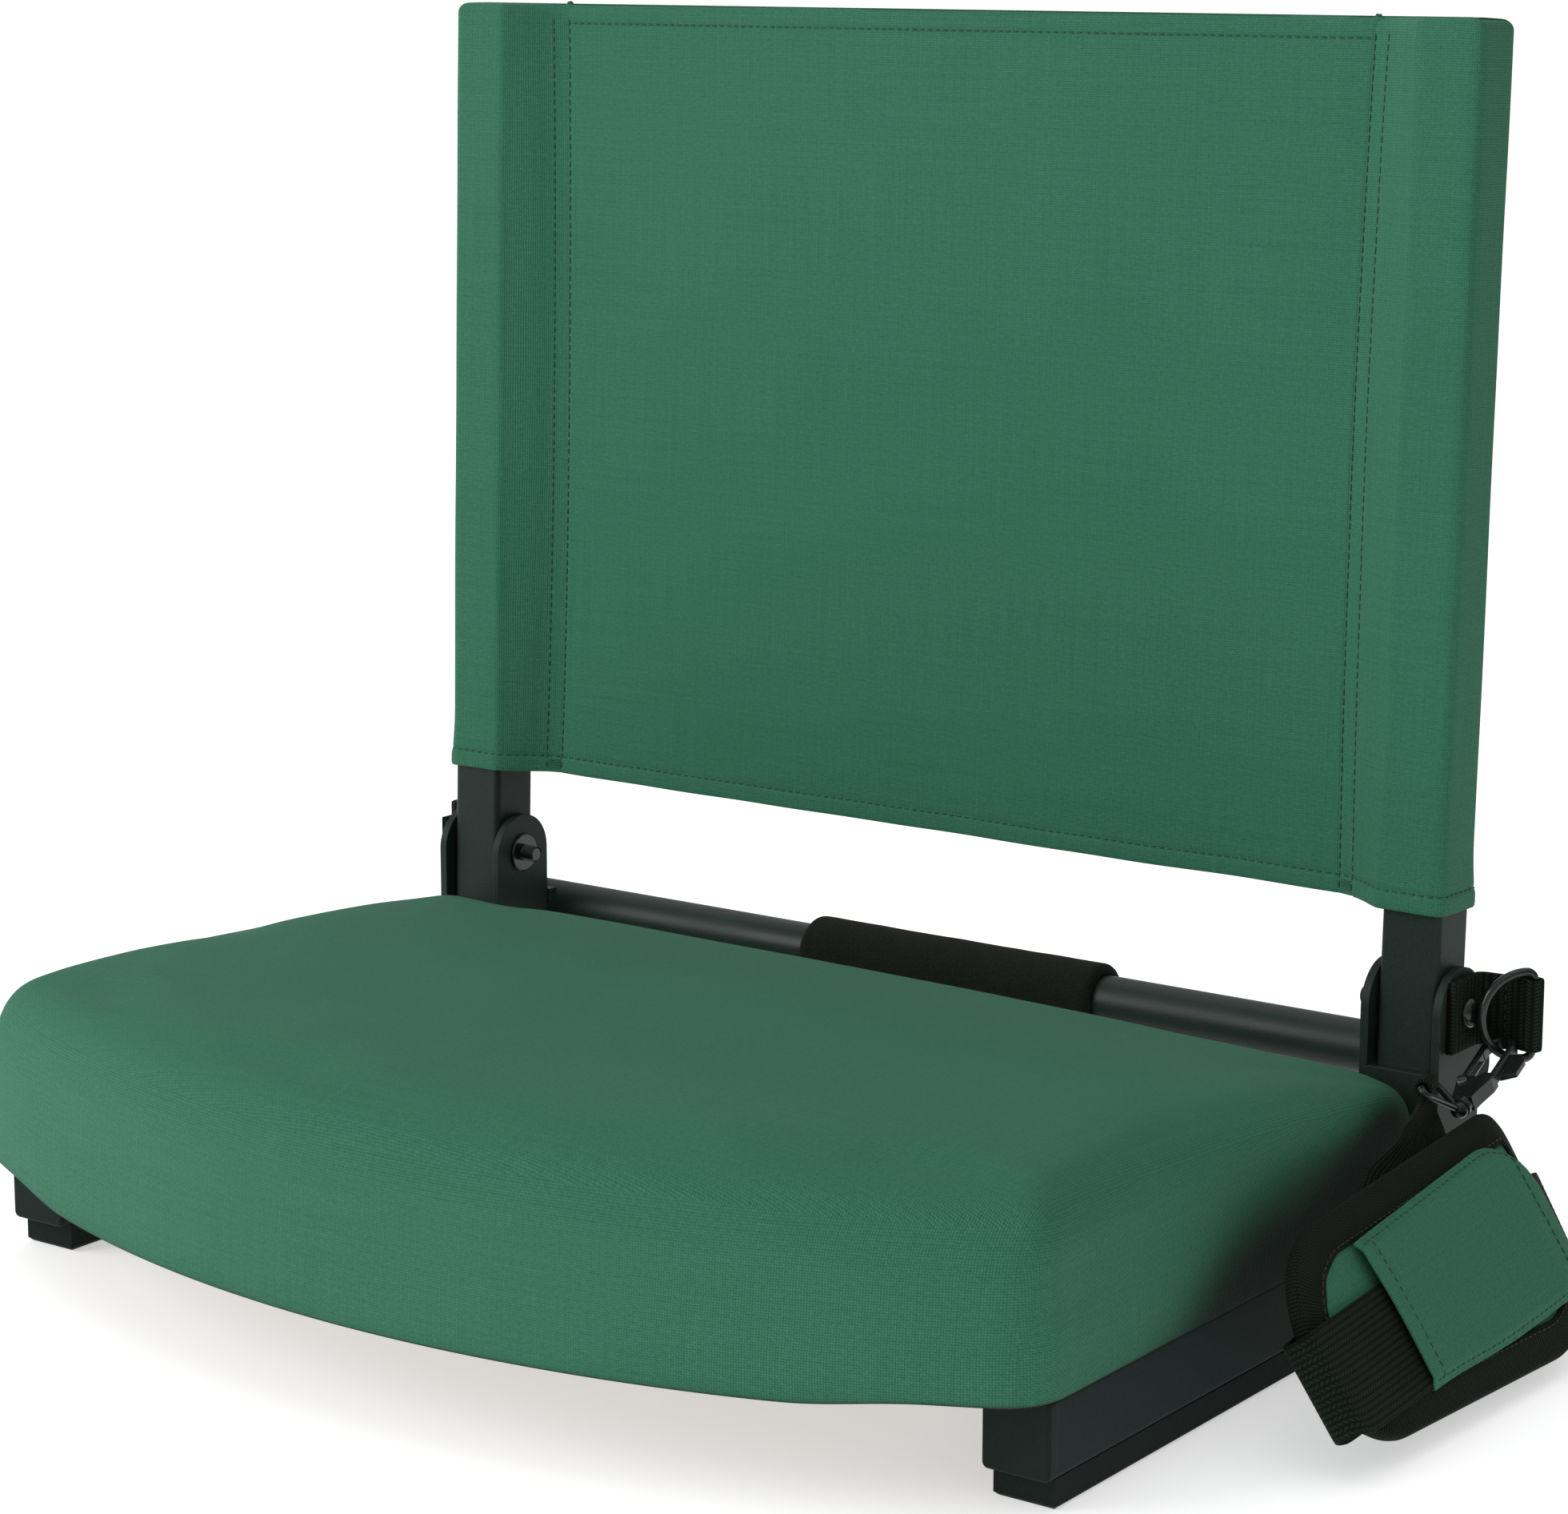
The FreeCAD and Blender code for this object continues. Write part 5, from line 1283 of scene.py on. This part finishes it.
def flap():
    a = np.concatenate([[FA0, FA0 + 0.5], np.arange(FA0 + 1.4, FA0 + 12, 0.9), np.arange(FA0 + 14, FA1 - 10, 2.6), np.arange(FA1 - 9, FA1 - 2.9, 0.75), np.arange(FA1 - 2.6, FA1 - 0.1, 0.32), [FA1]])
    t = np.concatenate([np.arange(0, 0.13, 0.014), np.arange(0.145, 0.86, 0.043), np.arange(0.874, 0.9999, 0.014), [1.0]])
    Aa, Tt = np.meshgrid(a, t, indexing="ij")
    Bb = flap_low(Aa) + (flap_top(Aa) - flap_low(Aa)) * Tt
    h = flap_h(Aa, Bb)
    e = np.minimum(Bb - flap_low(Aa), flap_top(Aa) - Bb)
    h = h + 0.16 * gnoise(np.stack([Aa, Bb, 0 * Aa], -1), 17.0, (3, 9, 0)).reshape(Aa.shape) * sstep(0, 8, e)
    h = h + flap_hems(Aa)
    # small puckers along the sewn edges
    h = h + 0.16 * np.sin(Aa / 3.4 * PI) * sstep(9.0, 1.5, e) * sstep(-0.2, 0.8, e)
    # edge of the mouth is not quite straight
    Aw = Aa + 0.8 * gnoise(np.stack([0 * Aa, Bb, 0 * Aa], -1), 20.0, (0, 4, 0)).reshape(Aa.shape) * sstep(FA0 + 10, FA0, Aa)
    P = on_pad(Aw, Bb, h + 1.0)
    U, Vv = Aa * 0.001, Bb * 0.001
    faces, uvs = sheet_grid(P, False, U, Vv)
    ob = build("pad_flap_cloth", P.reshape(-1, 3), faces, uvs)
    me = ob.data
    m = me.polygons[len(me.polygons) // 2]
    if np.dot(np.array(m.normal), PN) < 0:
        me.flip_normals()
    modifier(ob, "SOLIDIFY", thickness=0.00085, offset=-1.0, use_rim=True)
    apply_all(ob)
    ob.data.polygons.foreach_set("use_smooth", [True] * len(ob.data.polygons))
    piece(ob, M_GREEN, "carry_strap", "green_fabric", "pad_flap")
    runs = []

    def run(a_, b_):
        a_, b_ = np.broadcast_arrays(np.asarray(a_, float), np.asarray(b_, float))
        hh = flap_h(a_, b_) + 1.0 + 0.05 + flap_hems(a_)
        p, p2 = on_pad(a_, b_, hh), on_pad(a_, b_, hh + 1)
        runs.append((p, unit(p2 - p)))
    aa = np.arange(FA0 + 1.5, FA1 - 1.4, 1.5)
    for pos in (FA0 + 7.0, FA1 - 7.0):
        run(pos, np.arange(flap_low(pos) + 1.5, flap_top(pos) - 1.4, 1.5))
    run(aa, flap_low(aa) + 2.0)
    run(aa, flap_top(aa) - 2.0)
    st = stitches("pad_flap_stitches", runs, r=0.24, dash=2.3, pitch=3.2)
    piece(st, M_THREAD, "carry_strap", "green_fabric")
    return ob


flap()


# ------------------------------------------------------------------ strap webbing
def strap_path():
    HT, HB, HR, PE, FOLD = 1.2, -9.2, -14.0, math.radians(31.0), -156.6
    RF, RE = (HT - HB) / 2, (HT - HR) / 2
    c = (BEND + (RB + HT - RE) * math.sin(PE), -RB + (RB + HT - RE) * math.cos(PE))
    p = []

    def line(a, b, step=2.2):
        n = max(2, int(math.dist(a, b) / step))
        for t in np.linspace(0, 1, n, endpoint=False):
            p.append((a[0] + (b[0] - a[0]) * t, a[1] + (b[1] - a[1]) * t))

    def arc(c_, r, f0, f1, step=1.0):
        n = max(4, int(abs(f1 - f0) * r / step))
        for f in np.linspace(f0, f1, n, endpoint=False):
            p.append((c_[0] + r * math.sin(f), c_[1] + r * math.cos(f)))
    line((-146.0, HB), (FOLD, HB))
    arc((FOLD, (HT + HB) / 2), RF, PI, 2 * PI, 0.6)
    line((FOLD, HT), (BEND, HT))
    arc((BEND, -RB), RB + HT, 0, PE, 2.0)
    arc(c, RE, PE, PE + PI)
    arc((BEND, -RB), RB + HR, PE, 0, 2.0)
    line((BEND, HR), (-112.0, HR))
    p.append((-112.0, HR))
    return np.array(p)


def strap_webbing():
    p = strap_path()
    d = unit(np.gradient(p, axis=0))
    n2 = np.stack([-d[:, 1], d[:, 0]], 1)
    bc = (-131.4 - 95.4) / 2
    fold = np.exp(-((p[:, 0] - p[:, 0].min()) / 5.0) ** 2)          # drawn in a little where it turns
    wob = 0.25 * gnoise(np.c_[p, np.zeros(len(p))], 28.0, (0, 0, 3)) + 1.1 * fold
    C = PN * (PC + p[:, 1])[:, None] + E1 * p[:, :1] + E2 * (bc + wob)[:, None]
    lean = SKEW * sstep(-75.0, BEND, p[:, 0])[:, None]
    C = C + E1 * lean * (bc + 108.0)
    W = unit(E2 + E1 * lean)
    T = unit(PN * n2[:, 1:] + E1 * n2[:, :1])
    T = unit(T - W * (T * W).sum(1, keepdims=True))
    ob = tape("strap_webbing_weave", C, W, T, 35.8 - 3.2 * fold, 1.55, M_WEB, "carry_strap", "black_webbing", ["strap_webbing"], ribs=0.06, rib_pitch=2.1)
    return ob


strap_webbing()


def strap_end():
    LA, LB = np.array([224.6, -13.2, 83.1]), np.array([234.5, -42.2, 87.2])
    base = unit(LB - LA)
    mid = LA + base * 14.0
    down = np.array([0, 0, -1.0]) - base * (base @ np.array([0, 0, -1.0]))
    down = unit(down)
    outn = np.cross(base, down)
    def pp(a_, b_, h_):
        return PN * (PC + h_) + E1 * a_ + E2 * b_
    secs = [(mid + down * 2.2, base, outn, 14.5, 2.5),
            (pp(-35.0, -65.5, -9.9), E1 * -0.90 + E2 * 0.36 + PN * 0.10, PN, 27, 2.2),
            (pp(-63.0, -78.5, -10.1), E1 * -0.66 + E2 * 0.75, PN, 34, 1.8),
            (pp(-104.0, -99.0, -9.9), E1 * -0.30 + E2 * 0.95, PN, 36, 1.6),
            (pp(-146.0, -113.4, -9.2), E2, PN, 35.8, 1.55)]
    if unit(secs[0][1]) @ unit(secs[1][1]) < 0:
        secs[0] = (secs[0][0], -secs[0][1], secs[0][2], secs[0][3], secs[0][4])
    for i in range(1, len(secs)):
        if np.dot(unit(secs[i][1]), unit(secs[i - 1][1])) < 0:
            secs[i] = (secs[i][0], -secs[i][1], *secs[i][2:])
        if np.dot(unit(secs[i][2]), unit(secs[i - 1][2])) < 0:
            secs[i] = (secs[i][0], secs[i][1], -secs[i][2], *secs[i][3:])
    c = np.array([q[0] for q in secs])
    s = np.concatenate([[0], np.cumsum(np.linalg.norm(np.diff(c, axis=0), axis=1))])
    m = np.gradient(c, s, axis=0)
    C, W, T, wd, th = [], [], [], [], []
    for i in range(len(secs) - 1):
        n = max(6, int((s[i + 1] - s[i]) / 2.0))
        for t in np.linspace(0, 1, n, endpoint=(i == len(secs) - 2)):
            L = s[i + 1] - s[i]
            h = (2 * t ** 3 - 3 * t ** 2 + 1, t ** 3 - 2 * t ** 2 + t, -2 * t ** 3 + 3 * t ** 2, t ** 3 - t ** 2)
            k = 0.55
            C.append(c[i] * h[0] + m[i] * L * h[1] * k + c[i + 1] * h[2] + m[i + 1] * L * h[3] * k)
            e = t * t * (3 - 2 * t)
            W.append(unit(unit(secs[i][1]) * (1 - e) + unit(secs[i + 1][1]) * e))
            T.append(unit(unit(secs[i][2]) * (1 - e) + unit(secs[i + 1][2]) * e))
            wd.append(secs[i][3] * (1 - e) + secs[i + 1][3] * e)
            th.append(secs[i][4] * (1 - t) + secs[i + 1][4] * t)
    C, W, T = np.array(C), np.array(W), np.array(T)
    T = unit(T - W * (T * W).sum(1, keepdims=True))
    ob = tape("strap_end_weave", C, W, T, np.array(wd), np.array(th), M_WEB, "carry_strap", "black_webbing", ["strap_end"], ribs=0.10, rib_pitch=2.1, n_across=76)
    # the eye sewn round the wire
    nr, nc = 12, 28
    a = np.linspace(0, 2 * PI, nc, endpoint=False)
    prof = [(-7.3, 1.75), (-7.5, 2.2), (-7.4, 2.8), (-7.0, 3.15)] + [(x, 3.2 + 0.12 * math.sin(x * 2.1)) for x in np.linspace(-6, 6, 9)] + [(7.0, 3.15), (7.4, 2.8), (7.5, 2.2), (7.3, 1.75)]
    side = np.cross(base, down)
    P = np.array([mid + base * x + (down[None] * np.cos(a)[:, None] + side[None] * np.sin(a)[:, None]) * r for x, r in prof])
    n = len(prof)
    faces, uvs = [], []
    for i in range(n):
        for j in range(nc):
            q = [(i, j), (i, (j + 1) % nc), ((i + 1) % n, (j + 1) % nc), ((i + 1) % n, j)]
            faces.append([r_ * nc + c_ for r_, c_ in q])
            uvs += [(jj * 0.0007, prof[r_][0] * 0.001) for r_, jj in ((i, j), (i, j + 1), ((i + 1) % n, j + 1), ((i + 1) % n, j))]
    eye = build("strap_end_eye", P.reshape(-1, 3), faces, uvs)
    outward(eye)
    piece(eye, M_BIND, "carry_strap", "black_webbing")


strap_end()


# ------------------------------------------------------------------ threads on the bolts' ends
def bolt_threads():
    for sx, name, body in ((1, "bolt_thread_right", "seat_base"), (-1, "bolt_thread_left", "seat_base")):
        turns, pitch, per = 6, 1.0, 40
        verts, faces = [], []
        n = turns * per + 1
        for i in range(n):
            f = 2 * PI * i / per
            x = 183.7 + pitch * i / per
            grow = min(1, i / per, (n - 1 - i) / per)
            for dx, r in ((-0.46, 2.93), (0.0, 2.95 + 0.36 * grow), (0.46, 2.93)):
                verts.append((sx * (x + dx), 14.5 + r * math.cos(f), 100.0 + r * math.sin(f)))
        for i in range(n - 1):
            for a in range(3):
                b = (a + 1) % 3
                faces.append([i * 3 + a, i * 3 + b, i * 3 + 3 + b, i * 3 + 3 + a])
        faces += [[0, 1, 2], [(n - 1) * 3 + 2, (n - 1) * 3 + 1, (n - 1) * 3]]
        ob = build(name, np.array(verts), faces, smooth=False)
        outward(ob)
        piece(ob, M_BLACK, body, "black_hardware")


bolt_threads()

# ------------------------------------------------------------------ floor, light, camera
bpy.ops.mesh.primitive_plane_add(size=240.0, location=(0, 0, -0.0003))
floor = bpy.context.object
floor.name = "floor"
mf, nt, b = new_mat("pale_floor", 0.9, 0.0)
b.inputs["Emission Color"].default_value = (1, 1, 1, 1)
co = obj_co(nt)
nt.links.new(mixc(nt, nz(nt, co, 3.0, 2.0), (0.90, 0.90, 0.90), (0.93, 0.93, 0.93)), b.inputs["Base Color"])
# the floor glows with painted light though it is no lamp: bright behind and to the left of the seat, falling off in
# front and to the right
px, py, _ = xyz(nt, co)
near = mth(nt, "ADD", mth(nt, "MULTIPLY", px, -0.589), mth(nt, "MULTIPLY", py, 0.808))
right = mth(nt, "ADD", mth(nt, "MULTIPLY", px, 0.904), mth(nt, "MULTIPLY_ADD", py, 0.427, -0.264))
fall = mth(nt, "MULTIPLY", rng(nt, near, -0.95, -0.26, 0.30, 1.0), rng(nt, right, 0.06, 0.75, 1.0, 0.25))
nt.links.new(mth(nt, "MULTIPLY", fall, 0.50), b.inputs["Emission Strength"])
floor.data.materials.append(mf)

world = bpy.data.worlds.new("studio")
bpy.context.scene.world = world
world.use_nodes = True
bg = world.node_tree.nodes["Background"]
wt = world.node_tree
wx, wy, wz = xyz(wt, wt.nodes.new("ShaderNodeTexCoord").outputs["Generated"])
turn = mth(wt, "ADD", mth(wt, "MULTIPLY", wx, 0.904), mth(wt, "MULTIPLY", wy, 0.427))
low = mth(wt, "MULTIPLY", rng(wt, turn, -0.7, 0.8), rng(wt, wz, 0.05, 0.85, 1.0, 0.35))
wt.links.new(mixc(wt, low, (1.0, 1.0, 1.0), (0.28, 0.28, 0.28)), bg.inputs["Color"])
bg.inputs["Strength"].default_value = 0.69


def area(name, loc, aim, size, power):
    li = bpy.data.lights.new(name, "AREA")
    li.shape = "RECTANGLE"
    li.size, li.size_y = size
    li.energy = power
    ob = bpy.data.objects.new(name, li)
    bpy.context.scene.collection.objects.link(ob)
    ob.location = loc
    ob.rotation_euler = (Vector(aim) - Vector(loc)).to_track_quat("-Z", "Y").to_euler()
    return ob


area("key", (-1.75, -2.0, 1.4), (0, 0, 0.2), (1.7, 1.5), 31.0)
area("top", (0.0, 0.1, 2.4), (0, 0, 0.1), (2.2, 2.2), 6.5)

cam = bpy.data.cameras.new("camera")
cam.sensor_fit = "HORIZONTAL"
cam.sensor_width = 36.0
cam.lens = 94.40
cam.clip_start, cam.clip_end = 0.05, 50.0
co_ = bpy.data.objects.new("camera", cam)
bpy.context.scene.collection.objects.link(co_)
co_.location = (0.80398, -1.08472, 0.46149)
az, el = math.radians(36.09), math.radians(11.51)
fwd = Vector((-math.sin(az) * math.cos(el), math.cos(az) * math.cos(el), -math.sin(el)))
co_.rotation_euler = fwd.to_track_quat("-Z", "Y").to_euler()
bpy.context.scene.camera = co_
bpy.context.scene.view_settings.view_transform = "Standard"

bpy.context.view_layer.update()
